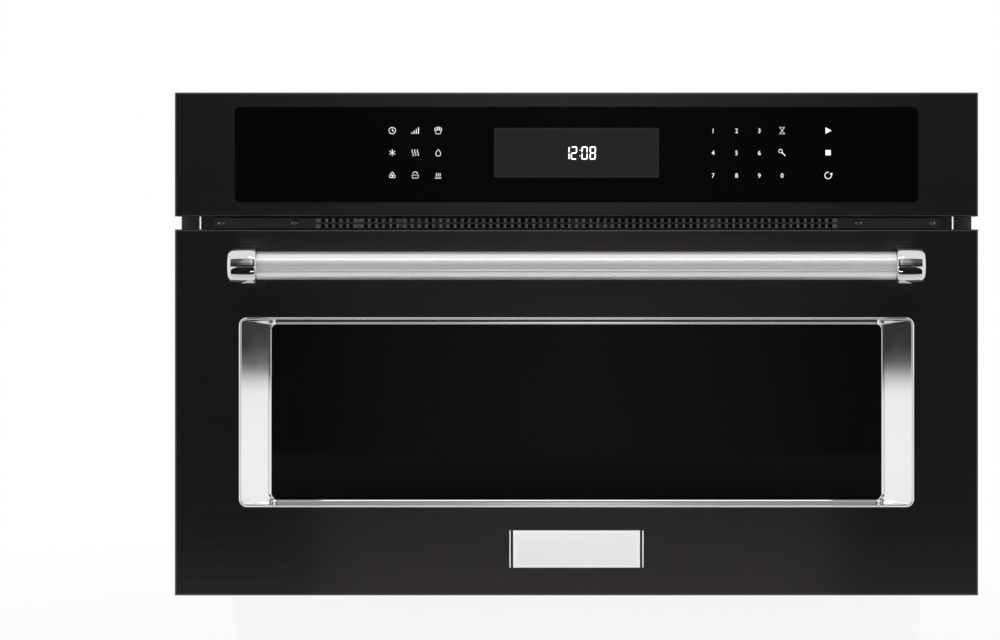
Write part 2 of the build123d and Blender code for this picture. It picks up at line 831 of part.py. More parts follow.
def roller_ring():
    low, high = wheel_z - ring_height / 2, wheel_z + ring_height / 2
    ring = tier(Circle(ring_outer) - Circle(ring_inner), low, high)
    reach = wheel_inner() + wheel_width + slip
    for angle in wheel_angles():
        axle = disc_x(0, wheel_z, wheel_axle, ring_outer - ring_width / 2, reach + axle_cap_length)
        axle += disc_x(0, wheel_z, axle_cap, reach, reach + axle_cap_length)
        ring += Rot(0, 0, angle) * axle
    return Pos(0, turntable_y, 0) * ring


def roller_wheel(angle):
    wheel = disc_x(0, wheel_z, wheel_radius, wheel_inner(), wheel_inner() + wheel_width)
    wheel -= disc_x(0, wheel_z, wheel_axle + shaft_gap, wheel_inner() - 1, wheel_inner() + wheel_width + 1)
    return Pos(0, turntable_y, 0) * Rot(0, 0, angle) * wheel


# Microwave source in the upper bay

def waveguide():
    x0, x1 = guide_start_x, guide_start_x + guide_length
    y0, y1 = guide_middle_y - guide_width / 2, guide_middle_y + guide_width / 2
    guide = block(x0, x1, y0, y1, guide_bottom, guide_top)
    guide += block(x0 - guide_flange, x1 + guide_flange, y0 - guide_flange, y1 + guide_flange,
                   guide_bottom, guide_bottom + guide_sheet)
    guide -= block(x0 + guide_sheet, x1 - guide_sheet, y0 + guide_sheet, y1 - guide_sheet,
                   guide_bottom - 1, guide_top - guide_sheet)
    return guide - disc_z(magnetron_x, guide_middle_y, aerial_radius + aerial_gap,
                          guide_top - guide_sheet - 1, guide_top + 1)


def magnetron_yoke():
    x0, x1 = magnetron_x - yoke_width / 2, magnetron_x + yoke_width / 2
    y0, y1 = guide_middle_y - yoke_depth / 2, guide_middle_y + yoke_depth / 2
    top = guide_top + yoke_height
    yoke = block(x0, x1, y0, y1, guide_top, top)
    yoke -= block(x0 - 1, x1 + 1, y0 + yoke_sheet, y1 - yoke_sheet, guide_top + yoke_sheet, top - yoke_sheet)
    yoke -= disc_z(magnetron_x, guide_middle_y, aerial_radius + slip, guide_top - 1,
                   guide_top + yoke_sheet + 1)
    inset = filter_box_inset
    yoke += block(x0 + inset, x1 - inset, y0 + inset, y1 - inset, top, top + filter_box_height)
    plug_low = top + filter_plug_low
    yoke += block(x0 + filter_plug_inset, x1 - filter_plug_inset, y0 - filter_plug_reach, y0 + inset,
                  plug_low, plug_low + filter_plug_height)
    return yoke


def magnetron_core():
    low, high = guide_top + yoke_sheet, guide_top + yoke_height - yoke_sheet
    core = disc_z(magnetron_x, guide_middle_y, anode_radius, low, high)
    core += disc_z(magnetron_x, guide_middle_y, aerial_radius, guide_top - aerial_length, low)
    core = fillet(core.edges().sort_by(Axis.Z)[0], aerial_round)
    half_x = yoke_width / 2 - fin_edge_clear
    half_y = yoke_depth / 2 - yoke_sheet
    pitch = (high - low) / (fin_count + 1)
    for index in range(fin_count):
        z = low + (index + 1) * pitch
        core += block(magnetron_x - half_x, magnetron_x + half_x, guide_middle_y - half_y,
                      guide_middle_y + half_y, z - fin_sheet / 2, z + fin_sheet / 2)
    return core


def transformer_core():
    x0, x1 = transformer_x - transformer_width / 2, transformer_x + transformer_width / 2
    y0, y1 = transformer_y - transformer_depth / 2, transformer_y + transformer_depth / 2
    top = deck_top + transformer_height
    core = block(x0, x1, y0, y1, deck_top, top)
    for side in (-1, 1):
        limb = side * (transformer_width / 4 - transformer_window / 4)
        middle, half = transformer_x + limb, transformer_window / 2
        cut = rect(middle - half, middle + half, deck_top + transformer_window, top - transformer_window)
        core -= slab(cut, y0 - 1, y1 + 1)
    foot = transformer_foot
    return core + block(x0 - foot, x1 + foot, y0 - foot / 2, y1 + foot / 2, deck_top,
                        deck_top + transformer_foot_sheet)


def transformer_windings():
    limb_inner = transformer_width / 4 - 3 * transformer_window / 4
    limb_outer = limb_inner + transformer_window
    low, high = deck_top + transformer_window, deck_top + transformer_height - transformer_window
    half_y = transformer_depth / 2
    hole = rect(transformer_x - limb_inner, transformer_x + limb_inner, transformer_y - half_y,
                transformer_y + half_y)
    coil = rect(transformer_x - limb_outer, transformer_x + limb_outer,
                transformer_y - half_y - winding_reach, transformer_y + half_y + winding_reach,
                transformer_window / 2)
    return tier(coil - hole, low, high)


def high_voltage_capacitor():
    can = tier(Pos(capacitor_x, capacitor_y) * SlotOverall(capacitor_length, capacitor_width), deck_top,
               deck_top + capacitor_height)
    for side in (-1, 1):
        can += disc_z(capacitor_x + side * terminal_pitch / 2, capacitor_y, terminal_radius,
                      deck_top + capacitor_height, deck_top + capacitor_height + terminal_height)
    strap = SlotOverall(capacitor_length + 2 * strap_sheet, capacitor_width + 2 * strap_sheet)
    return can + tier(Pos(capacitor_x, capacitor_y) * strap, deck_top + strap_low,
                      deck_top + strap_low + strap_width)


# Cooling

def blower_z():
    return deck_top + blower_size / 2


def fan_shroud():
    # a square frame with a round throat, drawn in to a duct that ends beside the magnetron
    z0, z1 = deck_top, deck_top + blower_size
    y0, y1 = guide_middle_y - blower_size / 2, guide_middle_y + blower_size / 2
    duct_low = guide_top + slip
    duct_y0, duct_y1 = guide_middle_y - duct_width / 2, guide_middle_y + duct_width / 2
    face = blower_x + blower_depth
    duct_end = magnetron_x - yoke_width / 2 - slip
    taper_end = guide_start_x - guide_flange - slip

    def funnel(wall):
        start = Plane.YZ.offset(face) * rect(y0 + wall, y1 - wall, z0 + wall, z1 - wall)
        outline = rect(duct_y0 + wall, duct_y1 - wall, duct_low + wall, duct_low + duct_height - wall)
        end = Plane.YZ.offset(taper_end) * outline
        tail = bar(outline, taper_end, duct_end)
        return loft([start, end], ruled=True) + tail

    shroud = bar(rect(y0, y1, z0, z1, shroud_corner), blower_x, face)
    shroud -= disc_x(guide_middle_y, blower_z(), blower_radius + throat_gap, blower_x - 1, face + 1)
    shroud += funnel(0) - funnel(shroud_wall)
    spokes_end = blower_x + spoke_sheet
    spoke = rect(-spoke_width / 2, spoke_width / 2, 0, blower_radius + 2 * throat_gap)
    spoke = bar(spoke, blower_x, spokes_end)
    for index in range(spoke_count):
        shroud += Pos(0, guide_middle_y, blower_z()) * Rot(360 * index / spoke_count, 0, 0) * spoke
    shroud += disc_x(guide_middle_y, blower_z(), blower_motor_radius, blower_x, spokes_end)
    return shroud - disc_x(guide_middle_y, blower_z(), motor_hole, blower_x - 1, spokes_end + 1)


def cooling_fan_motor():
    x0 = blower_x - blower_motor_length
    motor = disc_x(guide_middle_y, blower_z(), blower_motor_radius, x0, blower_x)
    half = blower_motor_stack / 2
    stack = rect(guide_middle_y - half, guide_middle_y + half, blower_z() - half / 2, blower_z() + half / 2)
    motor += bar(stack, x0 + blower_motor_inset, blower_x - blower_motor_inset)
    return motor - disc_x(guide_middle_y, blower_z(), fan_shaft / 2 + shaft_gap, blower_x - motor_socket - 1,
                          blower_x + 1)


def cooling_fan():
    start, stop = blower_x + blower_front_clear, blower_x + blower_depth - blower_back_clear
    hub = disc_x(0, 0, blower_hub, start, stop)
    hub += disc_x(0, 0, fan_shaft / 2, blower_x - motor_socket, start)
    middle = (start + stop) / 2
    inner = Plane(origin=(middle, 0, blower_hub - blower_root_sink), x_dir=(1, 0, 0), z_dir=(0, 0, 1))
    outer = Plane(origin=(middle, 0, blower_radius), x_dir=(1, 0, 0), z_dir=(0, 0, 1))
    root = inner * (Rot(0, 0, blower_root_angle) * Rectangle(blower_root_width, blower_blade_sheet))
    tip = outer * (Rot(0, 0, blower_tip_angle) * Rectangle(blower_tip_width, blower_blade_sheet))
    blade = loft([root, tip], ruled=True)
    for index in range(blower_blades):
        hub += Rot(360 * index / blower_blades, 0, 0) * blade
    return Pos(0, guide_middle_y, blower_z()) * hub


# Electrics

def circuit_board(x, y, length, width, lumps):
    # board on four posts; each lump is its shape, its place from the board's middle, its size and its height
    board_bottom = deck_top + board_lift
    board_top = board_bottom + board_sheet
    board = block(x - length / 2, x + length / 2, y - width / 2, y + width / 2, board_bottom, board_top)
    for side_x in (-1, 1):
        for side_y in (-1, 1):
            post_x = x + side_x * (length / 2 - board_post_inset)
            post_y = y + side_y * (width / 2 - board_post_inset)
            board += disc_z(post_x, post_y, board_post, deck_top, board_bottom)
    for shape, lump_x, lump_y, size, height in lumps:
        lump = Rectangle(size, size * 0.75) if shape == "square" else Circle(size / 2)
        board += tier(Pos(x + lump_x, y + lump_y) * lump, board_top, board_top + height)
    return board


def power_board():
    return circuit_board(power_board_x, power_board_y, power_board_length, power_board_width,
                         power_board_lumps)


def noise_filter_board():
    return circuit_board(filter_board_x, filter_board_y, filter_board_length, filter_board_width,
                         filter_board_lumps)


def cord_gland():
    collar_end = rear_face + gland_proud
    gland = disc_y(gland_x, gland_height, gland_collar, rear_face, collar_end)
    gland += disc_y(gland_x, gland_height, gland_radius - shaft_gap, rear_inner, rear_face)
    gland += disc_y(gland_x, gland_height, gland_collar, rear_inner - gland_nut, rear_inner)
    return gland - disc_y(gland_x, gland_height, gland_bore, rear_inner - gland_nut - 1, collar_end + 1)


# Control panel

def control_panel_skin():
    panel = slab(rect(-half_front, half_front, panel_bottom, panel_top), face_y, frame_front)
    panel = fillet(panel.edges().filter_by(GeomType.LINE).group_by(Axis.Y)[0], skin_bend)
    panel -= slab(rect(-half_front + skin, half_front - skin, panel_bottom + skin, panel_top - skin),
                  face_y + skin, 1)
    panel -= slab(rect(-half_front + skin, half_front - skin, panel_bottom - 1, panel_bottom + 2 * skin),
                  face_y + panel_lower_return, 1)
    opening = rect(-glass_width / 2 - glass_gap, glass_width / 2 + glass_gap, glass_bottom - glass_gap,
                   glass_top + glass_gap, glass_corner + glass_gap)
    return panel - slab(opening, face_y - 1, face_y + 2 * skin)


def control_glass():
    outline = rect(-glass_width / 2, glass_width / 2, glass_bottom, glass_top, glass_corner)
    glass = slab(outline, face_y, glass_back)
    return chamfer(glass.edges().group_by(Axis.Y)[0], glass_bevel)


def panel_carrier():
    lap = glass_gap + carrier_lap
    x, low, high = glass_width / 2 + lap, glass_bottom - lap, glass_top + lap
    carrier = slab(rect(-x, x, low, high), face_y + skin, carrier_back)
    fit = glass_gap
    carrier -= slab(rect(-glass_width / 2 - fit, glass_width / 2 + fit, glass_bottom - fit, glass_top + fit,
                         glass_corner + fit), face_y, glass_back)
    display_z = panel_top - display_drop
    carrier -= slab(rect(-display_width / 2, display_width / 2, display_z - display_height / 2,
                         display_z + display_height / 2), glass_back - 1, carrier_back + 1)
    for post_x in row(4, (2 * x - 2 * carrier_post_inset) / 3):
        for post_z in (low + carrier_post, high - carrier_post):
            post = Pos(post_x, post_z) * Rectangle(carrier_post, carrier_post)
            carrier += slab(post, carrier_back, frame_front)
    return carrier


def display_module():
    display_z = panel_top - display_drop
    margin = display_margin
    module = slab(rect(-display_width / 2 + slip, display_width / 2 - slip,
                       display_z - display_height / 2 + slip, display_z + display_height / 2 - slip),
                  glass_back, carrier_back)
    module += slab(rect(-display_width / 2 - margin, display_width / 2 + margin,
                        display_z - display_height / 2 - margin, display_z + display_height / 2 + margin),
                   carrier_back, carrier_back + board_sheet)
    return module + slab(rect(-display_width / 2, display_width / 2, display_z - display_connector / 2,
                              display_z + display_connector / 2), carrier_back + board_sheet,
                         carrier_back + display_depth)


def vent_trim():
    low, high = door_top - strip_lap, panel_bottom + strip_lap
    strip = slab(rect(-strip_half, strip_half, low, high), strip_front, frame_front)
    count = int(2 * perforated_half / perforation_pitch)
    for z in (vent_middle - perforation_row_pitch / 2, vent_middle + perforation_row_pitch / 2):
        cell = Rectangle(perforation_width, perforation_height)
        cells = [Pos(x, z) * cell for x in row(count, perforation_pitch)]
        strip -= slab(Sketch() + cells, strip_front - 1, frame_front + 1)
    for x in screw_places:
        strip -= disc_y(x, vent_middle, screw_shank + shaft_gap, strip_front - 1, frame_front + 1)
    return strip


def trim_screws():
    screws = []
    for x in screw_places:
        head = disc_y(x, vent_middle, screw_head, strip_front - screw_head_height, strip_front)
        head = fillet(head.edges().sort_by(Axis.Y)[0], screw_head_round)
        screws.append(head + disc_y(x, vent_middle, screw_shank, strip_front, strip_front + screw_length))
    return Compound(children=screws)


# Door

def door_notches():
    # slots that let the hinge claws and the latch hooks through the rear of the door
    claw_half = claw_sheet / 2 + slip
    claw = block(hinge_x - claw_half, hinge_x + claw_half, pivot_y - claw_eye - 2 * slip, 1,
                 door_bottom - 1, claw_low + claw_arm)
    hook_half = hook_width / 2 + 2 * slip
    hook = block(hook_x - hook_half, hook_x + hook_half, body_plate_front - 1, 1,
                 latch_z - slot_below, latch_z + slot_above)
    return claw + other_side(claw) + hook + other_side(hook)


def door_skin():
    rear = body_plate_front - skin_back_gap
    panel = slab(rect(-half_front, half_front, door_bottom, door_top), face_y, rear)
    panel = fillet(panel.edges().filter_by(GeomType.LINE).group_by(Axis.Y)[0], skin_bend)
    panel -= slab(rect(-half_front + skin, half_front - skin, door_bottom + skin, door_top - skin),
                  face_y + skin, rear + 1)
    opening = rect(-bezel_width / 2 - slip, bezel_width / 2 + slip, bezel_bottom - slip, bezel_top + slip,
                   bezel_corner + slip)
    return panel - slab(opening, face_y - 1, face_y + 2 * skin) - door_notches()


def bezel_outline(grow):
    return rect(-bezel_width / 2 - grow, bezel_width / 2 + grow, bezel_bottom - grow, bezel_top + grow,
                bezel_corner + grow)


def bezel_opening(grow):
    half = bezel_width / 2 - bezel_side
    return rect(-half - grow, half + grow, bezel_bottom + bezel_end - grow, bezel_top - bezel_end + grow,
                bezel_inner_corner + grow)


def funnel_y(front_outline, front, back_outline, back):
    return loft([Plane.XZ.offset(-front) * front_outline, Plane.XZ.offset(-back) * back_outline], ruled=True)


def window_bezel():
    slope_back = face_y + bezel_depth
    flange_front = face_y + skin
    flange_back = flange_front + bezel_flange_sheet
    bezel = slab(bezel_outline(0), face_y, flange_back)
    bezel += slab(bezel_outline(bezel_flange), flange_front, flange_back)
    bezel += funnel_y(bezel_outline(0), flange_back, bezel_opening(bezel_lip), window_front)
    bezel -= funnel_y(bezel_outline(-bezel_bead), face_y, bezel_opening(bezel_lip), slope_back)
    bezel -= slab(bezel_opening(0), slope_back, window_front)
    bead = slab(bezel_outline(0) - bezel_outline(-bezel_bead), face_y - bezel_bead_rise, face_y)
    lip = slab(bezel_opening(bezel_lip) - bezel_opening(0), slope_back - bezel_lip_rise, slope_back)
    for edging in (bead, lip):
        bezel += fillet(edging.edges().group_by(Axis.Y)[0], bezel_round)
    return bezel


def window_glass():
    return slab(bezel_opening(window_lap), window_front, window_back)


def door_body():
    outer = skin + slip
    body = slab(rect(-half_front + outer, half_front - outer, door_bottom + outer, door_top - outer),
                body_plate_front - body_flange, body_rear)
    body = fillet(body.edges().group_by(Axis.Y)[-1], body_bend)
    wall = outer + body_sheet
    body -= slab(rect(-half_front + wall, half_front - wall, door_bottom + wall, door_top - wall),
                 body_plate_front - body_flange - 1, body_plate_front)
    choke = rect(-choke_half, choke_half, choke_bottom, choke_top, cavity_corner)
    choke_wall = rect(-choke_half - body_sheet, choke_half + body_sheet, choke_bottom - body_sheet,
                      choke_top + body_sheet, cavity_corner + body_sheet)
    body += slab(choke_wall, choke_front, body_plate_front)
    body -= slab(choke, choke_front + body_sheet, body_rear + 1)
    island = rect(-cavity_half, cavity_half, cavity_floor, cavity_top, cavity_corner)
    island_inner = rect(-cavity_half + body_sheet, cavity_half - body_sheet, cavity_floor + body_sheet,
                        cavity_top - body_sheet, cavity_corner - body_sheet)
    body -= slab(island_inner, choke_front - 1, body_rear + 1)
    body += slab(island - island_inner, choke_front, inner_glass_front)
    window = rect(-cavity_half + screen_inset, cavity_half - screen_inset, cavity_floor + screen_inset,
                  cavity_top - screen_inset, cavity_corner)
    body += slab(island - window, inner_plate_front, inner_glass_front)
    for side in (-1, 1):
        ear = side * (hook_x + hook_width / 2 + slip + ear_sheet / 2)
        plate = block(ear - ear_sheet / 2, ear + ear_sheet / 2, latch_y - ear_above, body_plate_front,
                      latch_z - ear_below, latch_z + ear_above)
        body += plate - disc_x(latch_y, latch_z, latch_stub + shaft_gap, ear - ear_sheet, ear + ear_sheet)
    return body - door_notches()


def choke_cover():
    outer = rect(-choke_half - cover_outer_lap, choke_half + cover_outer_lap, choke_bottom - cover_outer_lap,
                 choke_top + cover_outer_lap, cavity_corner + cover_outer_lap)
    inner = rect(-cavity_half + cover_lip, cavity_half - cover_lip, cavity_floor + cover_lip,
                 cavity_top - cover_lip, cavity_corner)
    return slab(outer - inner, body_rear, body_rear + choke_cover_sheet)


def door_screen():
    inset = screen_inset - screen_lap
    return slab(rect(-cavity_half + inset, cavity_half - inset, cavity_floor + inset, cavity_top - inset),
                screen_front, inner_plate_front)


def inner_glass():
    inset = inner_glass_inset
    return slab(rect(-cavity_half + inset, cavity_half - inset, cavity_floor + inset, cavity_top - inset,
                     cavity_corner - inset), inner_glass_front, inner_glass_rear)


def handle_tube():
    end = post_inner_x + tube_socket - slip
    tube = disc_x(handle_y, handle_z, tube_radius, -end, end)
    return tube - disc_x(handle_y, handle_z, tube_radius - tube_wall, -end - 1, end + 1)


def handle_post():
    # a barrel with a slight bulge and a domed outer end, on a leg that widens towards the door
    start, end = post_inner_x, post_inner_x + post_width
    shoulder = end - post_crown
    end_radius = post_radius - post_taper
    side = ThreePointArc((start, end_radius), ((start + shoulder) / 2, post_radius), (shoulder, end_radius))
    bevel = Line(side @ 1, (shoulder + post_bevel, end_radius - post_bevel))
    crown = TangentArc((end, 0), bevel @ 1, tangent=(0, 1))
    section = make_face([side, bevel, crown, Line((end, 0), (start, 0)), Line((start, 0), side @ 0)])
    barrel = revolve(section, Axis.X)
    barrel = fillet(barrel.edges().sort_by(Axis.X)[0], post_edge_round)
    foot = rect(start, end, handle_z - leg_below, handle_z + leg_above, leg_corner)
    waist = rect(start + leg_waist_inset, shoulder, handle_z - leg_waist, handle_z + leg_waist,
                 leg_waist_corner)
    leg = funnel_y(waist, handle_y, foot, face_y - leg_foot) + slab(foot, face_y - leg_foot, face_y)
    post = Pos(0, handle_y, handle_z) * barrel + leg
    return post - disc_x(handle_y, handle_z, tube_radius + shaft_gap, start - 1, start + tube_socket)


def badge_plate():
    low = door_bottom + plate_rise
    half = plate_width / 2
    plate = slab(rect(-half, half, low, low + plate_height), face_y - plate_thickness, face_y)
    plate = chamfer(plate.edges().group_by(Axis.Y)[0], plate_edge)
    for side in (-1, 1):
        channel = side * (half - plate_lip - plate_channel / 2)
        plate -= slab(rect(channel - plate_channel / 2, channel + plate_channel / 2, low - 1,
                           low + plate_height + 1),
                      face_y - plate_thickness - 1, face_y - plate_thickness + plate_channel_depth)
    return plate


# Hinges

def hinge_claw():
    # eye round the pin, an arm up through the front frame, and a plate with a foot behind the frame
    arm_top = claw_low + claw_arm
    on_eye = (pivot_y - claw_eye * cos(radians(claw_lean)), pivot_z + claw_eye * sin(radians(claw_lean)))
    arm = make_face(Polyline((pivot_y, pivot_z - claw_eye), (frame_front, claw_low), (0, claw_low),
                             (0, arm_top), (frame_front, arm_top), on_eye, close=True))
    inside = rect(0, claw_plate_depth, claw_low, claw_low + claw_plate_height)
    outline = (Pos(pivot_y, pivot_z) * Circle(claw_eye)) + arm + inside
    outline -= Pos(pivot_y, pivot_z) * Circle(pin_radius + shaft_gap)
    half = claw_sheet / 2
    claw = bar(outline, hinge_x - half, hinge_x + half)
    foot = rect(hinge_x - half - claw_foot, hinge_x - half, claw_low + claw_arm + claw_foot_gap,
                claw_low + claw_plate_height)
    return claw + slab(foot, 0, claw_foot_sheet)


def hinge_channel():
    inner = claw_sheet / 2 + slip
    outer = inner + channel_sheet
    low = door_bottom + skin + slip + body_sheet
    front = body_plate_front - channel_depth
    channel = block(hinge_x - outer, hinge_x + outer, front, body_plate_front, low, low + channel_height)
    channel -= block(hinge_x - inner, hinge_x + inner, front + channel_sheet, body_plate_front + 1,
                     low - 1, low + channel_height + 1)
    return channel - disc_x(pivot_y, pivot_z, pin_radius + shaft_gap, hinge_x - outer - 1,
                            hinge_x + outer + 1)


def hinge_pins():
    outer = claw_sheet / 2 + slip + channel_sheet
    pin = disc_x(pivot_y, pivot_z, pin_radius, hinge_x - outer, hinge_x + outer)
    for x in (hinge_x - outer - pin_head_length, hinge_x + outer):
        pin += disc_x(pivot_y, pivot_z, pin_head, x, x + pin_head_length)
    return Compound(children=[pin, other_side(pin)])


# Latch and interlock

def latch_bar():
    bar_half = hook_x + hook_width / 2
    sheet_half, height_half = latch_bar_sheet / 2, latch_bar_height / 2
    latch = block(-bar_half, bar_half, latch_y - sheet_half, latch_y + sheet_half, latch_z - height_half,
                  latch_z + height_half)
    arm = rect(latch_y, latch_y + hook_reach - hook_head / 2, latch_z - hook_arm, latch_z + hook_arm)
    head = (Pos(latch_y, latch_z) * Circle(hook_reach)) & rect(latch_y + hook_reach - hook_head,
                                                               latch_y + hook_reach + 1, latch_z - hook_below,
                                                               latch_z + hook_above)
    hook = bar(arm + head, hook_x - hook_width / 2, bar_half)
    stub_end = bar_half + slip + ear_sheet
    stub = disc_x(latch_y, latch_z, latch_stub, bar_half, stub_end)
    return latch + hook + other_side(hook) + stub + other_side(stub)


def interlock_bracket():
    x0, x1 = bracket_x, bracket_x + bracket_sheet
    low, high = latch_z - hook_below - catch_gap - catch_sheet, latch_z + slot_above + bracket_head
    rear = switch_front + switch_depth
    bracket = block(x0, x1, 0, rear, low, high)
    bracket += block(x1, x1 + bracket_foot, 0, bracket_sheet, low, high)
    bracket += block(hook_x - switch_width / 2, x0, bracket_sheet, bracket_sheet + catch_depth, low,
                     low + catch_sheet)
    shelf = latch_z - switch_height / 2
    bracket += block(hook_x - switch_width / 2, x0, switch_front, rear, shelf - bracket_sheet, shelf)
    return bracket


def interlock_switches():
    def switch():
        x0, x1 = hook_x - switch_width / 2, hook_x + switch_width / 2
        body = block(x0, x1, switch_front, switch_front + switch_depth, latch_z - switch_height / 2,
                     latch_z + switch_height / 2)
        body -= disc_y(hook_x, latch_z, plunger_radius + shaft_gap, switch_front - 1,
                       switch_front + plunger_length - plunger_stand + plunger_room)
        rear = switch_front + switch_depth
        half_width, half_height = terminal_tab_width / 2, terminal_tab_height / 2
        for z in row(3, switch_height / 3):
            body += slab(rect(hook_x - half_width, hook_x + half_width, latch_z + z - half_height,
                              latch_z + z + half_height), rear, rear + terminal_tab_length)
        return body
    return Compound(children=[switch(), other_side(switch())])


def switch_plunger():
    tip = switch_front - plunger_stand
    return disc_y(hook_x, latch_z, plunger_radius, tip, tip + plunger_length)


# Every node and its solid
wheels = [roller_wheel(angle) for angle in wheel_angles()]
nodes = {
    "base_pan": base_pan(),
    "outer_wrapper": outer_wrapper(),
    "rear_panel": rear_panel(),
    "front_frame": front_frame(),
    "component_deck": component_deck(),
    "oven_cavity": oven_cavity(),
    "cavity_lamp": cavity_lamp(),
    "mica_cover": mica_cover(),
    "convection_cover": convection_cover(),
    "convection_housing": convection_housing(),
    "convection_heater": convection_heater(),
    "convection_fan": convection_fan(),
    "convection_motor": convection_motor(),
    "turntable_motor": turntable_motor(),
    "turntable_coupler": turntable_coupler(),
    "glass_tray": glass_tray(),
    "roller_ring": roller_ring(),
    "waveguide": waveguide(),
    "magnetron_yoke": magnetron_yoke(),
    "magnetron_core": magnetron_core(),
    "transformer_core": transformer_core(),
    "transformer_windings": transformer_windings(),
    "high_voltage_capacitor": high_voltage_capacitor(),
    "fan_shroud": fan_shroud(),
    "cooling_fan_motor": cooling_fan_motor(),
    "cooling_fan": cooling_fan(),
    "power_board": power_board(),
    "noise_filter_board": noise_filter_board(),
    "cord_gland": cord_gland(),
    "control_panel_skin": control_panel_skin(),
    "control_glass": control_glass(),
    "panel_carrier": panel_carrier(),
    "display_module": display_module(),
    "vent_trim": vent_trim(),
    "trim_screws": trim_screws(),
    "door_skin": door_skin(),
    "window_bezel": window_bezel(),
    "window_glass": window_glass(),
    "door_body": door_body(),
    "choke_cover": choke_cover(),
    "door_screen": door_screen(),
    "inner_glass": inner_glass(),
    "handle_tube": handle_tube(),
    "handle_post_right": handle_post(),
    "handle_post_left": other_side(handle_post()),
    "badge_plate": badge_plate(),
    "hinge_channel_right": hinge_channel(),
    "hinge_channel_left": other_side(hinge_channel()),
    "hinge_pins": hinge_pins(),
    "hinge_claw_right": hinge_claw(),
    "hinge_claw_left": other_side(hinge_claw()),
    "latch_bar": latch_bar(),
    "interlock_bracket_right": interlock_bracket(),
    "interlock_bracket_left": other_side(interlock_bracket()),
    "interlock_switches": interlock_switches(),
    "primary_plunger": switch_plunger(),
    "secondary_plunger": other_side(switch_plunger()),
}
for index, wheel in enumerate(wheels, start=1):
    nodes[f"roller_wheel_{index}"] = wheel

os.makedirs("parts", exist_ok=True)
for name, solid in nodes.items():
    export_step(solid, f"parts/{name}.step")
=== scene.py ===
from math import atan2, cos, pi, radians, sin, sqrt

import bmesh
import bpy
from mathutils import Matrix, Vector


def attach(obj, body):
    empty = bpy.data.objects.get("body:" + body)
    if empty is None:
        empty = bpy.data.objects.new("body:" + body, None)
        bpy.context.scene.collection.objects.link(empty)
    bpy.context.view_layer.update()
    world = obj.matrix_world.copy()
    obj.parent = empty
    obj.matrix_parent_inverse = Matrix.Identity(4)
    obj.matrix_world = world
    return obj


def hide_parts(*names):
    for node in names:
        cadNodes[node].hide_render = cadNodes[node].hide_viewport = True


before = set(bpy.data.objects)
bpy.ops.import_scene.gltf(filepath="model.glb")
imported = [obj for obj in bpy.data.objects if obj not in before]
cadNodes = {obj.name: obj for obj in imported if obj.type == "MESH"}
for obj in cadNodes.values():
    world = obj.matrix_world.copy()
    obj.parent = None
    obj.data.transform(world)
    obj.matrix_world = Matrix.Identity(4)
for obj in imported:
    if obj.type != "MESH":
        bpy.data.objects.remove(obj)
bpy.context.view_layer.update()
mm = 0.001
print("frame loaded:", len(cadNodes), "nodes")


# Node helpers

def setAll(thing, **values):
    for key, value in values.items():
        setattr(thing, key, value)
    return thing


def feed(tree, target, value):
    # links a socket, or sets a plain value or colour
    if isinstance(value, bpy.types.NodeSocket):
        tree.links.new(value, target)
    else:
        target.default_value = (*value, 1) if target.type == "RGBA" else value


def addNode(tree, kind, inputs=None, **settings):
    node = setAll(tree.nodes.new("ShaderNode" + kind), **settings)
    for label, value in (inputs or {}).items():
        feed(tree, node.inputs[label], value)
    return node


def mathNode(tree, operation, *values):
    return addNode(tree, "Math", dict(enumerate(values)), operation=operation).outputs[0]


def rangeNode(tree, source, fromLow, fromHigh, toLow=0.0, toHigh=1.0):
    limits = {"From Min": fromLow, "From Max": fromHigh, "To Min": toLow, "To Max": toHigh}
    return addNode(tree, "MapRange", {"Value": source, **limits}).outputs["Result"]


def mixNode(tree, mask, low, high):
    # low where the mask is 0, high where it is 1
    ends = {"Factor": mask, "A": low, "B": high}
    return addNode(tree, "Mix", ends, data_type="RGBA").outputs["Result"]


def blended(tree, first, second, share):
    # this share of the first, and the rest of the second
    return mathNode(tree, "ADD", mathNode(tree, "MULTIPLY", first, share),
                    mathNode(tree, "MULTIPLY", second, 1 - share))


def objectPlace(tree):
    return addNode(tree, "TexCoord").outputs["Object"]


def objectAxes(tree):
    return addNode(tree, "SeparateXYZ", {0: objectPlace(tree)}).outputs


def offCentre(tree, axis, middle=0.0):
    # distance from the middle along one axis
    return mathNode(tree, "ABSOLUTE", mathNode(tree, "SUBTRACT", objectAxes(tree)[axis], middle))


def band(tree, distance, low, high):
    return mathNode(tree, "MULTIPLY", mathNode(tree, "GREATER_THAN", distance, low),
                    mathNode(tree, "LESS_THAN", distance, high))


def noiseNode(tree, place, scale, detail=2.0):
    inputs = {"Vector": place, "Scale": scale, "Detail": detail}
    return addNode(tree, "TexNoise", inputs).outputs["Fac"]


def cellsNode(tree, place, scale, channel):
    # distance from the middle of each cell, and a tone of the cell's own
    cells = addNode(tree, "TexVoronoi", {"Vector": place, "Scale": scale}).outputs
    tone = addNode(tree, "SeparateColor", {"Color": cells["Color"]})
    return cells["Distance"], tone.outputs[channel]


def newGroup(name, inputs, outputs):
    group = bpy.data.node_groups.new(name, "ShaderNodeTree")
    for label, value in inputs.items():
        kind = "NodeSocketFloat" if isinstance(value, float) else "NodeSocketVector"
        socket = group.interface.new_socket(label, in_out="INPUT", socket_type=kind)
        socket.default_value = value
    for label in outputs:
        group.interface.new_socket(label, in_out="OUTPUT", socket_type="NodeSocketFloat")
    entry, leave = group.nodes.new("NodeGroupInput"), group.nodes.new("NodeGroupOutput")
    return group, entry.outputs, leave.inputs


def placeGroup(tree, group, **values):
    return addNode(tree, "Group", values, node_tree=group).outputs


# Shared effects

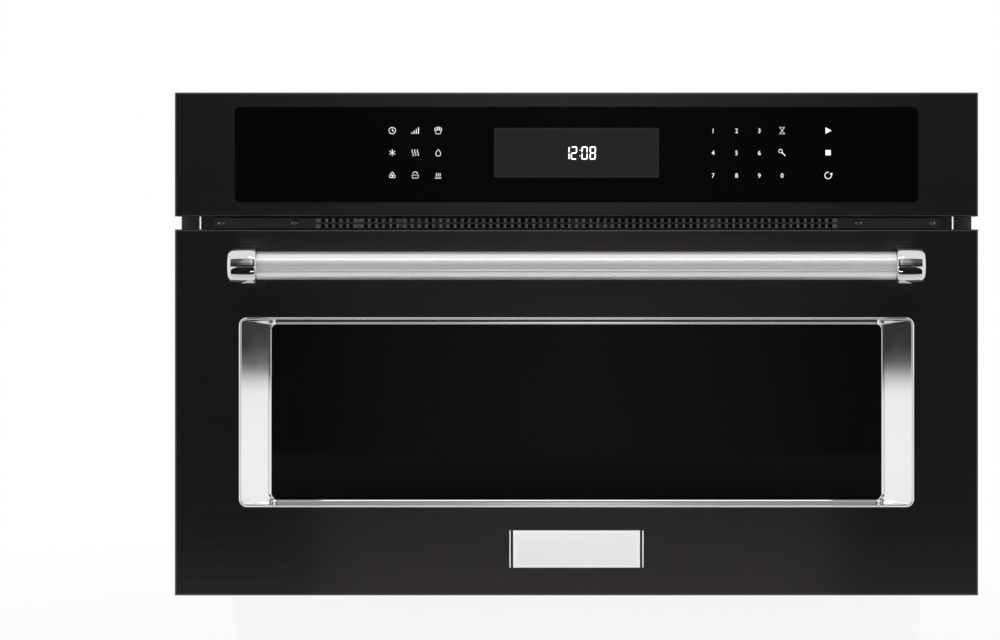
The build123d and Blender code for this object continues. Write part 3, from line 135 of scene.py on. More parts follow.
effects = {
    # the part of a noise's range that counts
    "soft": (0.3, 0.7),
    "sharp": (0.35, 0.65),
    # scales against the effect's own
    "streaks": 0.12,
    "specks": 60.0,
    "feather": 3.0,
    # share of the crystals' own tone, and the reach of their edges
    "crystalShare": 0.65,
    "crystalReach": 0.9,
}


def makeGrain():
    # fine brushed lines: Stretch squeezes the noise across them
    group, entry, leave = newGroup("brushedGrain", {"Stretch": (6, 900, 900), "Detail": 3.0},
                                   ("Lines", "Streaks"))
    stretch = addNode(group, "VectorMath", {0: objectPlace(group), 1: entry["Stretch"]},
                      operation="MULTIPLY")
    lines = noiseNode(group, stretch.outputs[0], 1.0, entry["Detail"])
    streaks = noiseNode(group, stretch.outputs[0], effects["streaks"])
    feed(group, leave["Lines"], rangeNode(group, lines, *effects["soft"]))
    feed(group, leave["Streaks"], rangeNode(group, streaks, *effects["sharp"]))
    return group


def makeMottle():
    # slow unevenness and faint handling marks
    group, entry, leave = newGroup("mottle", {"Size": 14.0}, ("Patches", "Specks"))
    place = objectPlace(group)
    slow = noiseNode(group, place, entry["Size"], 3.0)
    fast = noiseNode(group, place, mathNode(group, "MULTIPLY", entry["Size"], effects["specks"]))
    feed(group, leave["Patches"], rangeNode(group, slow, *effects["soft"]))
    feed(group, leave["Specks"], rangeNode(group, fast, *effects["sharp"]))
    return group


def makeSpangle():
    # zinc crystals of hot-dipped sheet
    group, entry, leave = newGroup("zincSpangle", {"Crystals": 120.0}, ("Tone", "Edges"))
    place = objectPlace(group)
    distance, tone = cellsNode(group, place, entry["Crystals"], "Red")
    scale = mathNode(group, "MULTIPLY", entry["Crystals"], effects["feather"])
    feather = noiseNode(group, place, scale, 4.0)
    feed(group, leave["Tone"], blended(group, tone, feather, effects["crystalShare"]))
    feed(group, leave["Edges"], rangeNode(group, distance, 0.0, effects["crystalReach"]))
    return group


def makeHoles():
    # round holes in staggered rows on the XZ plane, pitch and radius in metres
    group, entry, leave = newGroup("punchedHoles", {"Pitch": 0.003, "Radius": 0.0008}, ["Holes"])
    axes = objectAxes(group)
    pitch = entry["Pitch"]
    rowPitch = mathNode(group, "MULTIPLY", pitch, sqrt(3))

    def distanceTo(offset):
        squares = []
        for coordinate, step in ((axes["X"], pitch), (axes["Z"], rowPitch)):
            moved = mathNode(group, "ADD", coordinate, mathNode(group, "MULTIPLY", step, offset))
            within = mathNode(group, "FLOORED_MODULO", moved, step)
            half = mathNode(group, "MULTIPLY", step, 0.5)
            centred = mathNode(group, "SUBTRACT", within, half)
            squares.append(mathNode(group, "MULTIPLY", centred, centred))
        return mathNode(group, "SQRT", mathNode(group, "ADD", *squares))

    nearest = mathNode(group, "MINIMUM", distanceTo(0.0), distanceTo(0.5))
    feed(group, leave["Holes"], mathNode(group, "LESS_THAN", nearest, entry["Radius"]))
    return group


grainGroup = makeGrain()
mottleGroup = makeMottle()
spangleGroup = makeSpangle()
holesGroup = makeHoles()


# Materials

def newMaterial(name, colour, roughness, metallic=0.0, more=None):
    made = bpy.data.materials.new(name)
    made.use_nodes = True
    shader = made.node_tree.nodes["Principled BSDF"].inputs
    values = {"Base Color": colour, "Roughness": roughness, "Metallic": metallic, **(more or {})}
    for label, value in values.items():
        feed(made.node_tree, shader[label], value)
    return made, made.node_tree, shader


def shade(tree, shader, colour=None, roughness=None, relief=None):
    # colour and roughness: a mask, and what they are at its two ends
    # relief: a height, its strength and its depth in metres
    if colour:
        feed(tree, shader["Base Color"], mixNode(tree, *colour))
    if roughness:
        mask, low, high = roughness
        feed(tree, shader["Roughness"], rangeNode(tree, mask, 0.0, 1.0, low, high))
    if relief:
        bump = addNode(tree, "Bump", dict(zip(("Height", "Strength", "Distance"), relief)))
        feed(tree, shader["Normal"], bump.outputs["Normal"])


def paintOver(tree, layers):
    # each layer is a mask and the colour that it puts over the finish
    colour = tree.nodes["Principled BSDF"].inputs["Base Color"]
    plain = colour.links[0].from_socket if colour.is_linked else colour.default_value[:3]
    for mask, tone in layers:
        plain = mixNode(tree, mask, plain, tone)
    feed(tree, colour, plain)


def scaled(colour, factor):
    return tuple(min(1.0, part * factor) for part in colour)


def ends(value, low, high):
    # a colour or a roughness, times the factor for each end of a mask
    if isinstance(value, float):
        return value * low, value * high
    return scaled(value, low), scaled(value, high)


def brushedMetal(name, colour, roughness, stretch, spread, anisotropy, turn=0.25, axis="Z",
                 metallic=1.0, lineShare=0.85, swing=(0.93, 1.07), strength=0.06, depth=0.00003):
    made, tree, shader = newMaterial(name, colour, roughness, metallic,
                                     {"Anisotropic": anisotropy, "Anisotropic Rotation": turn})
    tangent = addNode(tree, "Tangent", direction_type="RADIAL", axis=axis)
    feed(tree, shader["Tangent"], tangent.outputs["Tangent"])
    grain = placeGroup(tree, grainGroup, Stretch=stretch)
    both = blended(tree, grain["Lines"], grain["Streaks"], lineShare)
    shade(tree, shader, (both, *ends(colour, 1 - spread, 1 + spread)),
          (both, *ends(roughness, *swing)), (grain["Lines"], strength, depth))
    return made


def marked(name, colour, roughness, size, swing, tones=None, relief=None, metallic=0.0,
           toneMarks="Specks", glossMarks="Patches", more=None):
    # a finish with patches and specks: swing and tones are factors at the two ends of the marks
    made, tree, shader = newMaterial(name, colour, roughness, metallic, more)
    marks = placeGroup(tree, mottleGroup, Size=size)
    shade(tree, shader, (marks[toneMarks], *ends(colour, *tones)) if tones else None,
          (marks[glossMarks], *ends(roughness, *swing)),
          (marks["Specks"], *relief) if relief else None)
    return made


def polishedMetal(name, colour, roughness):
    return marked(name, colour, roughness, 22.0, (0.6, 1.5), (0.985, 1.0), metallic=1.0)


def platedSheet(name, colour, roughness=0.42, crystals=120.0, contrast=0.16, step=0.1,
                strength=0.08, depth=0.0002):
    made, tree, shader = newMaterial(name, colour, roughness, 1.0)
    zinc = placeGroup(tree, spangleGroup, Crystals=crystals)
    shade(tree, shader, (zinc["Tone"], *ends(colour, 1 - contrast, 1 + contrast)),
          (zinc["Tone"], roughness + step, roughness - step), (zinc["Edges"], strength, depth))
    return made


def coatedSheet(name, colour, roughness, peel, speck, coat=0.0, coatRoughness=0.15, depth=0.00012):
    # baked enamel or paint: a faint orange peel and slow unevenness
    return marked(name, colour, roughness, 9.0, (0.85, 1.15), (1 - speck, 1 + speck), (peel, depth),
                  more={"Coat Weight": coat, "Coat Roughness": coatRoughness})


def mouldedPlastic(name, colour, roughness, texture=0.25, depth=0.0001):
    return marked(name, colour, roughness, 26.0, (0.9, 1.1), (0.92, 1.06), (texture, depth),
                  toneMarks="Patches", glossMarks="Specks")


def clearGlass(name, tint, roughness, clear=1.0, index=1.5):
    return marked(name, tint, roughness, 7.0, (0.5, 1.6),
                  more={"Transmission Weight": clear, "IOR": index})


def makeGlow(name, colour, strength, roughness=0.4):
    # a lamp that gives light of its own; a print made with it gets a painted glow
    return marked(name, colour, roughness, 40.0, (0.875, 1.125),
                  more={"Emission Color": colour, "Emission Strength": strength})


finish = {
    "darkSteel": (0.078, 0.069, 0.068),
    "trimSteel": (0.22, 0.205, 0.20),
    "darkSteelRoughness": 0.25,
    "chrome": (0.86, 0.86, 0.87),
    "postSteel": (0.72, 0.72, 0.725),
    "zinc": (0.58, 0.59, 0.60),
    "enamel": (0.50, 0.51, 0.52),
}

alongX = (5, 700, 700)

chrome = polishedMetal("chrome", finish["chrome"], 0.045)
postSteel = polishedMetal("post_steel", finish["postSteel"], 0.05)
satinSteel = brushedMetal("satin_steel", (0.80, 0.79, 0.785), 0.30, (900, 40, 40), 0.03, 0.9,
                          axis="X", metallic=0.6)
plateSteel = brushedMetal("plate_steel", (0.94, 0.93, 0.93), 0.34, alongX, 0.02, 0.4, metallic=0.12)
trimSteel = brushedMetal("trim_steel", finish["trimSteel"], 0.40, alongX, 0.05, 0.6, metallic=0.4)
frameSteel = brushedMetal("frame_steel", scaled(finish["trimSteel"], 0.6), 0.40, alongX, 0.05, 0.6,
                          metallic=0.5)
trimScrewSteel = polishedMetal("screw_steel", (0.62, 0.61, 0.61), 0.26)
zincPlated = platedSheet("zinc_plate", (0.60, 0.60, 0.58), 0.32, 420.0, 0.06)
trayGlass = clearGlass("tray_glass", (0.80, 0.86, 0.85), 0.03, 0.62)
clockLight = makeGlow("clock_light", (0.95, 0.97, 1.0), 1.0)
# the key prints glow a little: painted light, as the print is no lamp
keyPrint = makeGlow("key_print", (0.90, 0.90, 0.90), 0.32)


boardLook = {
    "top": 0.3020,
    "roughness": 0.5,
    "darkPart": (0.02, 0.02, 0.022),
    "palePart": (0.12, 0.10, 0.07),
    "size": 30.0,
    "relief": (0.3, 0.0002),
}


def makeBoard(name, boardColour):
    # bare board below its top, dark and pale parts above it
    look = boardLook
    made, tree, shader = newMaterial(name, boardColour, look["roughness"])
    tone = cellsNode(tree, objectPlace(tree), look["size"], "Green")[1]
    parts = mixNode(tree, tone, look["darkPart"], look["palePart"])
    paintOver(tree, [(mathNode(tree, "GREATER_THAN", objectAxes(tree)["Z"], look["top"]), parts)])
    marks = placeGroup(tree, mottleGroup, Size=look["size"])
    shade(tree, shader, relief=(marks["Specks"], *look["relief"]))
    return made


controlGlassLook = {
    "print": (0.0012, 0.0012, 0.0013),
    "display": (0.0185, 0.0185, 0.0190),
    "displayEdge": (0.033, 0.033, 0.033),
    "halfWidth": 0.07725,
    "halfHeight": 0.0232,
    "middle": 0.4044,
    "edge": 0.0007,
    "roughness": 0.035,
    "swing": (0.7, 1.5),
    "marks": 12.0,
    "index": 1.5,
}


def makeControlGlass():
    # black glass, with the window of the display a little lighter behind a thin line
    look = controlGlassLook
    made = marked("control_glass", look["print"], look["roughness"], look["marks"], look["swing"],
                  more={"IOR": look["index"]})
    tree = made.node_tree
    across, upward = offCentre(tree, "X"), offCentre(tree, "Z", look["middle"])

    def inside(inset):
        return mathNode(tree, "MULTIPLY",
                        mathNode(tree, "LESS_THAN", across, look["halfWidth"] - inset),
                        mathNode(tree, "LESS_THAN", upward, look["halfHeight"] - inset))

    paintOver(tree, [(inside(0.0), look["displayEdge"]), (inside(look["edge"]), look["display"])])
    return made


screenLook = {
    "pitch": 0.0026,
    "radius": 0.00078,
    "paint": (0.020, 0.020, 0.021),
    # painted shade in the holes, for the unlit cavity behind them
    "hole": (0.0012, 0.0012, 0.0012),
    "roughness": (0.42, 0.9),  # of the paint, and in a hole
    "relief": (0.6, 0.0003),
}


def makeScreen():
    # painted steel with small round holes; the holes are painted near black, a painted shade for the dark
    # cavity seen through them
    look = screenLook
    made, tree, shader = newMaterial("door_screen", look["paint"], look["roughness"][0])
    holes = placeGroup(tree, holesGroup, Pitch=look["pitch"], Radius=look["radius"])["Holes"]
    shade(tree, shader, (holes, look["paint"], look["hole"]), (holes, *look["roughness"]),
          (mathNode(tree, "SUBTRACT", 1.0, holes), *look["relief"]))
    return made


print("effects and materials made:", len(bpy.data.materials))


# Mesh helpers

cornerSegments = 8


def linked(name, data):
    made = bpy.data.objects.new(name, data)
    bpy.context.scene.collection.objects.link(made)
    return made


def addObject(name, bm, look):
    mesh = bpy.data.meshes.new(name)
    bm.to_mesh(mesh)
    bm.free()
    mesh.materials.append(look)
    return linked(name, mesh)


def finishPiece(name, bm, body, look, angle=30.0, nodes=()):
    # angle is where the shading turns sharp, nodes are what the piece replaces
    bmesh.ops.recalc_face_normals(bm, faces=bm.faces)
    piece = addObject(name, bm, look)
    piece.data.shade_smooth()
    piece.data.set_sharp_from_angle(angle=radians(angle))
    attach(piece, body)
    if nodes:
        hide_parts(*nodes)


def roundedFace(bm, halfWidth, low, high, y, corner, middle):
    # one face with round corners, square to the depth
    made = bmesh.ops.create_grid(bm, x_segments=1, y_segments=1, size=0.5)
    turn = Matrix.Translation((middle, y, (low + high) / 2)) @ Matrix.Rotation(pi / 2, 4, "X")
    shape = Matrix.Diagonal((2 * halfWidth, high - low, 1, 1))
    bmesh.ops.transform(bm, matrix=turn @ shape, verts=made["verts"])
    bent = bmesh.ops.bevel(bm, geom=made["verts"], offset=corner, offset_type="OFFSET",
                           segments=cornerSegments, profile=0.5, affect="VERTICES", material=-1)
    return bent["verts"][0].link_faces[0]


def reshape(verts, before, after):
    # moves the verts of one rounded outline to the next: every corner keeps its arc
    middle, halfway = before[5], (before[1] + before[2]) / 2
    for vert in verts:
        right = 1 if vert.co.x > middle else -1
        upper = vert.co.z > halfway
        arcs = []
        for halfWidth, low, high, y, corner, middleX in (before, after):
            x = middleX + (halfWidth - corner) * right
            z = high - corner if upper else low + corner
            arcs.append((Vector((x, y, z)), corner))
        (oldMiddle, oldCorner), (newMiddle, newCorner) = arcs
        vert.co = newMiddle + (vert.co - oldMiddle) * (newCorner / oldCorner)


def sweepOutlines(bm, outlines, ring=False):
    # pulls a rounded face through a row of outlines; a ring comes back to its first outline
    first = face = roundedFace(bm, *outlines[0])
    for before, after in zip(outlines, outlines[1:] + outlines[:1] * ring):
        pulled = bmesh.ops.extrude_face_region(bm, geom=[face])
        if face.is_valid and face is not first:
            bmesh.ops.delete(bm, geom=[face], context="FACES_ONLY")
        face = [part for part in pulled["geom"] if isinstance(part, bmesh.types.BMFace)][0]
        reshape(face.verts, before, after)
    if ring:
        bmesh.ops.delete(bm, geom=[first, face], context="FACES_ONLY")
        bmesh.ops.remove_doubles(bm, verts=bm.verts, dist=2e-6)


def turned(bm, profile, centre, axis, steps, closed=False):
    # profile is (place along the axis, radius); spun round the axis through centre
    alongAxis = Vector(axis)
    outward = Vector((0, 0, 1)) if abs(alongAxis.z) < 0.5 else Vector((1, 0, 0))
    verts = [bm.verts.new(Vector(centre) + alongAxis * place + outward * radius)
             for place, radius in profile]
    edges = [bm.edges.new(pair) for pair in zip(verts, verts[1:])]
    if closed:
        edges.append(bm.edges.new((verts[-1], verts[0])))
    bmesh.ops.spin(bm, geom=verts + edges, cent=centre, axis=axis, angle=2 * pi, steps=steps,
                   use_merge=True, use_duplicate=False)
    bmesh.ops.remove_doubles(bm, verts=bm.verts, dist=1e-7)


def block(bm, low, high):
    made = bmesh.ops.create_cube(bm, size=1.0)
    low, high = Vector(low), Vector(high)
    shape = Matrix.Translation((low + high) / 2) @ Matrix.Diagonal((*(high - low), 1))
    bmesh.ops.transform(bm, matrix=shape, verts=made["verts"])
    return made["verts"]


def softenEdges(bm, edges, width, segments=2):
    bmesh.ops.bevel(bm, geom=edges, offset=width, offset_type="OFFSET", segments=segments,
                    profile=0.5, affect="EDGES", material=-1)


# Window bezel: a bead round the outside, long slopes at the sides and a lip against the glass

bezelSizes = {
    "halfWidth": 0.3175,
    "low": 0.0710,
    "high": 0.2497,
    "side": 0.0298,
    "end": 0.0067,
    "corner": 0.0075,
    "innerCorner": 0.0056,
    "cornerCut": 0.0004,
    # inset from the outer outline and depth from the front plane of the cabinet
    "bead": [(0.0, -39.0), (0.0, -39.75), (0.15, -40.1), (0.55, -40.42), (1.0, -40.67), (1.4, -40.83),
             (1.7, -40.88), (1.95, -40.8), (2.2, -40.5), (2.38, -40.05), (2.45, -39.6)],
    # inset from the inner opening
    "lip": [(2.35, -31.3), (2.2, -31.9), (2.0, -32.3), (1.0, -32.56), (0.5, -32.62), (0.15, -32.4),
            (0.0, -31.9), (0.0, -29.0), (2.0, -29.0)],
    "lipRows": 7,
    "endDepth": -0.0361,
    "back": [(1.5, -37.5), (-5.0, -37.5), (-5.0, -39.0)],
}


def mitreSlopes(bm, outer, lipRows, endDepth, steps=900):
    # flat slopes meet in one sharp line across each corner; the lip stands further forward
    # at top and bottom
    inner = lipRows[0]
    sideSlope = (inner[3] - outer[3]) / (outer[0] - inner[0])
    endSlope = (endDepth - outer[3]) / (outer[2] - inner[2])

    def levels(row, angle):
        # depth on the side slope and on the end slope, at an angle round the corner
        y, corner = row[3], row[4]
        end = endDepth if row is inner else y
        return (y + corner * (1 - cos(angle)) * sideSlope, end + corner * (1 - sin(angle)) * endSlope)

    quarter = [pi / 2 * step / steps for step in range(steps + 1)]
    kink = 5 * pi / 2 / cornerSegments  # the corner's vert that goes on the mitre line
    for row in [outer] + lipRows:
        half, low, high, y, corner = row[:5]
        shaped = outer if row is outer else inner
        meeting = min(quarter, key=lambda angle: abs(levels(shaped, angle)[0] - levels(shaped, angle)[1]))
        for vert in [v for v in bm.verts if abs(v.co.y - y) < 1e-6 and abs(v.co.x) < half + 1e-6]:
            right = 1 if vert.co.x > 0 else -1
            upper = 1 if vert.co.z > (low + high) / 2 else -1
            middleX, middleZ = half - corner, high - corner if upper > 0 else low + corner
            angle = atan2(abs(vert.co.z - middleZ), abs(vert.co.x) - middleX)
            if angle < kink:
                angle *= meeting / kink
            else:
                angle = meeting + (angle - kink) * (pi / 2 - meeting) / (pi / 2 - kink)
            vert.co = (right * (middleX + corner * cos(angle)),
                       y + min(levels(shaped, angle)) - shaped[3],
                       middleZ + upper * corner * sin(angle))


def makeBezel():
    s = bezelSizes
    bm = bmesh.new()
    outlines = []
    outside = (s["halfWidth"], s["low"], s["high"], s["corner"])
    innerX, innerLow, innerHigh = s["halfWidth"] - s["side"], s["low"] + s["end"], s["high"] - s["end"]

    def add(rows, halfWidth, low, high, corner, sign=1):
        for inset, y in rows:
            step = sign * inset * mm
            outlines.append((halfWidth - step, low + step, high - step, y * mm, corner - step, 0.0))

    add(s["bead"], *outside)
    add(s["lip"], innerX, innerLow, innerHigh, s["innerCorner"], -1)  # outwards from the opening
    add(s["back"], *outside)
    sweepOutlines(bm, outlines, ring=True)
    first = len(s["bead"])
    mitreSlopes(bm, outlines[first - 1], outlines[first:first + s["lipRows"]], s["endDepth"])
    # cuts just short of the corners keep the long faces flat in the shading
    reach = s["innerCorner"] + s["cornerCut"]
    cuts = [((x, 0, 0), (1, 0, 0)) for x in (reach - innerX, innerX - reach)]
    cuts += [((0, 0, z), (0, 0, 1)) for z in (innerLow + reach, innerHigh - reach)]
    for place, across in cuts:
        bmesh.ops.bisect_plane(bm, geom=bm.verts[:] + bm.edges[:] + bm.faces[:],
                               plane_co=place, plane_no=across)
    finishPiece("window_trim", bm, "door", chrome, 34, ["window_bezel"])


makeBezel()
print("bezel made")


# Handle: a satin tube between two polished posts

handleSizes = {
    "y": -0.0848,
    "z": 0.2985,
    "tubeRadius": 0.0130,
    "tubeHalf": 0.3000,
    "tubeSteps": 96,
    "tubeWall": 0.0015,
    "postInner": 0.2953,
    "postOuter": 0.3237,
    "postSteps": 64,
    # place along the axis from the post's inner end, and radius
    "barrel": [(5.0, 0.0), (5.0, 13.06), (0.0, 13.06), (0.0, 14.6), (0.2, 15.4), (0.7, 16.1),
               (1.6, 16.6), (3.0, 16.9), (5.5, 17.1), (9.0, 17.2), (12.0, 17.2), (16.0, 17.15),
               (20.0, 16.95), (23.0, 16.7), (23.5, 16.6), (23.9, 16.4), (26.2, 14.3), (26.6, 13.7),
               (27.2, 11.5), (27.9, 8.0), (28.3, 4.0), (28.4, 0.0)],
    # depth, reach above and below the axis, how far it stops short of the barrel's two ends,
    # and corner
    "leg": [(-76.0, 12.5, 12.0, 5.0, 5.5, 5.0), (-66.0, 14.0, 13.0, 3.0, 4.0, 6.0),
            (-56.0, 16.2, 14.4, 1.4, 2.4, 7.0), (-49.0, 18.2, 15.7, 0.5, 1.2, 8.0),
            (-45.0, 19.2, 16.3, 0.1, 0.5, 8.0), (-42.6, 19.5, 16.5, 0.0, 0.3, 8.0),
            (-40.6, 19.5, 16.5, 0.0, 0.3, 8.0), (-40.0, 19.1, 16.1, 0.4, 0.7, 7.6)],
}


def makeTube():
    s = handleSizes
    bm = bmesh.new()
    half, outer = s["tubeHalf"], s["tubeRadius"]
    inner = outer - s["tubeWall"]
    profile = [(-half, outer), (half, outer), (half, inner), (-half, inner)]
    turned(bm, profile, (0, s["y"], s["z"]), (1, 0, 0), s["tubeSteps"], closed=True)
    finishPiece("handle_bar", bm, "door", satinSteel, 40, ["handle_tube"])


def makePost(side, name):
    s = handleSizes
    bm = bmesh.new()
    profile = [(s["postInner"] + place * mm, radius * mm) for place, radius in s["barrel"]]
    turned(bm, profile, (0, s["y"], s["z"]), (1, 0, 0), s["postSteps"])
    outlines = []
    for y, above, below, inner, outer, corner in s["leg"]:
        low, high = s["postInner"] + inner * mm, s["postOuter"] - outer * mm
        outlines.append(((high - low) / 2, s["z"] - below * mm, s["z"] + above * mm, y * mm,
                         corner * mm, (low + high) / 2))
    sweepOutlines(bm, outlines)
    bmesh.ops.scale(bm, vec=(side, 1, 1), verts=bm.verts)
    node = "handle_post_" + name
    finishPiece("handle_end_" + name, bm, "door", postSteel, 32, [node])


makeTube()
makePost(-1, "left")
makePost(1, "right")
print("handle made")


# Plate on the door, left bare

plateSizes = {
    "half": 0.0630,
    "low": 0.0145,
    "high": 0.0493,
    "face": -0.0400,
    "thickness": 0.0024,
    "lip": 0.0012,
    "channel": 0.0022,
    "depth": 0.0015,
    "edge": 0.00045,
    "rimX": 0.0034,
    "rimZ": 0.0022,
    "rimTone": (1.0, 1.0, 1.0),
    # painted shade in the two channels
    "paintedChannelShade": (0.004, 0.004, 0.004),
}


def shadePlate(tree):
    # painted shade: black in the channels at the two ends, where shade falls, and a whiter rim around the
    # field
    s = plateSizes
    across, upward = offCentre(tree, "X"), offCentre(tree, "Z", (s["low"] + s["high"]) / 2)
    channelOut = s["half"] - s["lip"]
    channelIn = channelOut - s["channel"]
    rimUp = (s["high"] - s["low"]) / 2 - s["rimZ"]
    onRim = mathNode(tree, "MAXIMUM", mathNode(tree, "GREATER_THAN", across, channelIn - s["rimX"]),
                     mathNode(tree, "GREATER_THAN", upward, rimUp))
    inChannel = band(tree, across, channelIn, channelOut)
    paintOver(tree, [(onRim, s["rimTone"]), (inChannel, s["paintedChannelShade"])])


def makePlate():
    s = plateSizes
    front = s["face"] - s["thickness"]
    floor = front + s["depth"]
    channelOut = s["half"] - s["lip"]
    channelIn = channelOut - s["channel"]
    rightSide = [(channelIn, front), (channelIn, floor), (channelOut, floor), (channelOut, front),
                 (s["half"], front), (s["half"], s["face"])]
    outline = [(-x, y) for x, y in reversed(rightSide)] + rightSide
    bm = bmesh.new()
    face = bm.faces.new([bm.verts.new((x, y, s["low"])) for x, y in outline])
    pulled = bmesh.ops.extrude_face_region(bm, geom=[face])
    moved = [v for v in pulled["geom"] if isinstance(v, bmesh.types.BMVert)]
    bmesh.ops.translate(bm, vec=(0, 0, s["high"] - s["low"]), verts=moved)
    bmesh.ops.recalc_face_normals(bm, faces=bm.faces)
    rim = [e for e in bm.edges if all(v.co.y < front + 1e-6 for v in e.verts)]
    softenEdges(bm, rim, s["edge"], 3)
    finishPiece("name_plate_blank", bm, "door", plateSteel, nodes=["badge_plate"])


shadePlate(plateSteel.node_tree)
makePlate()
print("plate made")


# Screws of the vent strip: pan heads with a cross recess

stripMiddle = 0.33835

screwSizes = {
    "places": (-0.3380, -0.2684, 0.2684, 0.3380),
    "seat": -0.0030,
    "radius": 0.0034,
    "height": 0.0014,
    "recess": 0.0009,
    "recessFloor": 0.8,  # against the recess's mouth
    "squares": 6,  # on a side of the grid in the head's middle, half as wide as the head
    # radius and height of the rings round that grid, as shares of the head's
    "rings": ((0.72, -0.02), (0.88, -0.22), (0.97, -0.5), (1.0, -1.0), (0.47, -1.0), (0.47, -4.6)),
    # degrees of the first screw, and from each to the next
    "turn": 18,
    "turnStep": 31,
}


def makeScrews():
    s = screwSizes
    bm = bmesh.new()
    square = s["radius"] / s["squares"]
    for index, x in enumerate(s["places"]):
        verts = bmesh.ops.create_grid(bm, x_segments=s["squares"], y_segments=s["squares"],
                                      size=s["radius"] / 2)["verts"]
        border = [e for e in bm.edges if e.is_boundary and all(v in verts for v in e.verts)]
        cross = [f for f in {f for v in verts for f in v.link_faces}
                 if min(map(abs, f.calc_center_median()[:2])) < square]
        sunk = bmesh.ops.extrude_face_region(bm, geom=cross)
        low = [v for v in sunk["geom"] if isinstance(v, bmesh.types.BMVert)]
        bmesh.ops.delete(bm, geom=cross, context="FACES")
        bmesh.ops.translate(bm, vec=(0, 0, -s["recess"]), verts=low)
        bmesh.ops.scale(bm, vec=(s["recessFloor"], s["recessFloor"], 1), verts=low)
        rings = [border]
        for radius, height in s["rings"]:
            ring = bmesh.ops.create_circle(bm, segments=len(border), radius=s["radius"] * radius)
            bmesh.ops.translate(bm, vec=(0, 0, height * s["height"]), verts=ring["verts"])
            rings.append(list({e for v in ring["verts"] for e in v.link_edges}))
            verts = verts + ring["verts"]
        for first, second in zip(rings, rings[1:]):
            bmesh.ops.bridge_loops(bm, edges=first + second)
        bmesh.ops.contextual_create(bm, geom=rings[-1])
        turn = Matrix.Rotation(radians(s["turn"] + s["turnStep"] * index), 4, "Y")
        place = Matrix.Translation((x, s["seat"] - s["height"], stripMiddle))
        bmesh.ops.transform(bm, matrix=place @ turn @ Matrix.Rotation(pi / 2, 4, "X"),
                            verts=list({v for v in verts + low if v.is_valid}))
    finishPiece("strip_screws", bm, "chassis", trimScrewSteel, 32, ["trim_screws"])


makeScrews()
print("screws made")


# Vent strip: lighter in two rows, and near black along its top and bottom edges, a painted shadow of the
# gaps under the panel and over the door

stripTonesAndShadow = {
    # distances from the strip's middle
    "rowInner": 0.0011,
    "rowOuter": 0.0043,
    "edge": 0.0050,
    "meshHalf": 0.2480,
    # the tone that the two lighter rows are painted
    "mesh": (0.85, 0.84, 0.84),
    # painted shadow: near black beyond the edge, where the gaps to the panel and the door are in shade
    "behind": (0.002, 0.002, 0.002),
}


def shadeStrip(tree):
    s = stripTonesAndShadow
    upward = offCentre(tree, "Z", stripMiddle)
    inRows = mathNode(tree, "MULTIPLY", band(tree, upward, s["rowInner"], s["rowOuter"]),
                      mathNode(tree, "LESS_THAN", offCentre(tree, "X"), s["meshHalf"]))
    # painted shadow of the gaps under the panel and over the door, beyond the edge
    behind = mathNode(tree, "GREATER_THAN", upward, s["edge"])
    paintOver(tree, [(inRows, s["mesh"]), (behind, s["behind"])])


shadeStrip(trimSteel.node_tree)
print("strip shaded")


# Folded lips that narrow the two upright slots beside the vent strip

lipSizes = {
    "inner": 0.3589,
    "outer": 0.3605,
    "front": -0.00145,
    "rear": 0.0004,
    "half": 0.0139,
    "edge": 0.0002,
}


def makeLips():
    s = lipSizes
    bm = bmesh.new()
    low, high = stripMiddle - s["half"], stripMiddle + s["half"]
    for side in (-1, 1):
        left, right = sorted((side * s["inner"], side * s["outer"]))
        block(bm, (left, s["front"], low), (right, s["rear"], high))
    softenEdges(bm, bm.edges[:], s["edge"])
    finishPiece("slot_lips", bm, "chassis", frameSteel)


makeLips()
print("slot lips made")


# Prints on the control glass: digits on the keys, plain signs elsewhere, and the lit clock

panelPrint = {
    "surface": -0.04002,
    "thick": 0.00003,
    "panelTop": 0.4611,
    "rows": (0.0359, 0.0567, 0.0781),  # below the panel's top
    # each column's place, and its keys from the top down
    "columns": {
        -0.1732: ("cookTime", "defrost", "convection"),
        -0.1516: ("power", "reheat", "steam"),
        -0.1300: ("popcorn", "soften", "crisp"),
        0.1284: "147",
        0.1505: "258",
        0.1719: "369",
        0.1933: ("timer", "settings", "0"),
        0.2366: ("start", "cancel", "turntable"),
    },
    "digit": 0.0044,
    "digitSize": 1.36,  # of the type, against the digit's height
    "bold": 0.00002,
    "sign": 0.0031,
    "line": 0.00055,
}

clockSizes = {
    "digits": "1208",
    "middles": (-0.0093, -0.0024, 0.0076, 0.0153),
    "colon": 0.0032,
    "height": 0.0124,
    "width": 0.0058,
    "stroke": 0.00115,
    "gap": 0.00010,
    "z": 0.4041,
    "lean": 0.02,
    "tip": 0.48,  # how far a bar's ends are pointed, as a share of the stroke
    "colonRise": 0.42,
    "segments": {"0": "abcdef", "1": "bc", "2": "abged", "8": "abcdefg"},
}


def curveToMesh(bm, curve, flatten=1.0, x=0.0, z=0.0):
    # a flat curve or text becomes mesh, is stood upright and put on the glass
    carrier = linked("print", curve)
    bpy.context.view_layer.update()
    mesh = bpy.data.meshes.new_from_object(carrier)
    place = Matrix.Translation((x, panelPrint["surface"], z)) @ Matrix.Rotation(pi / 2, 4, "X")
    mesh.transform(place @ Matrix.Diagonal((1, 1, flatten, 1)))
    bm.from_mesh(mesh)
    bpy.data.objects.remove(carrier)
    bpy.data.curves.remove(curve)
    bpy.data.meshes.remove(mesh)


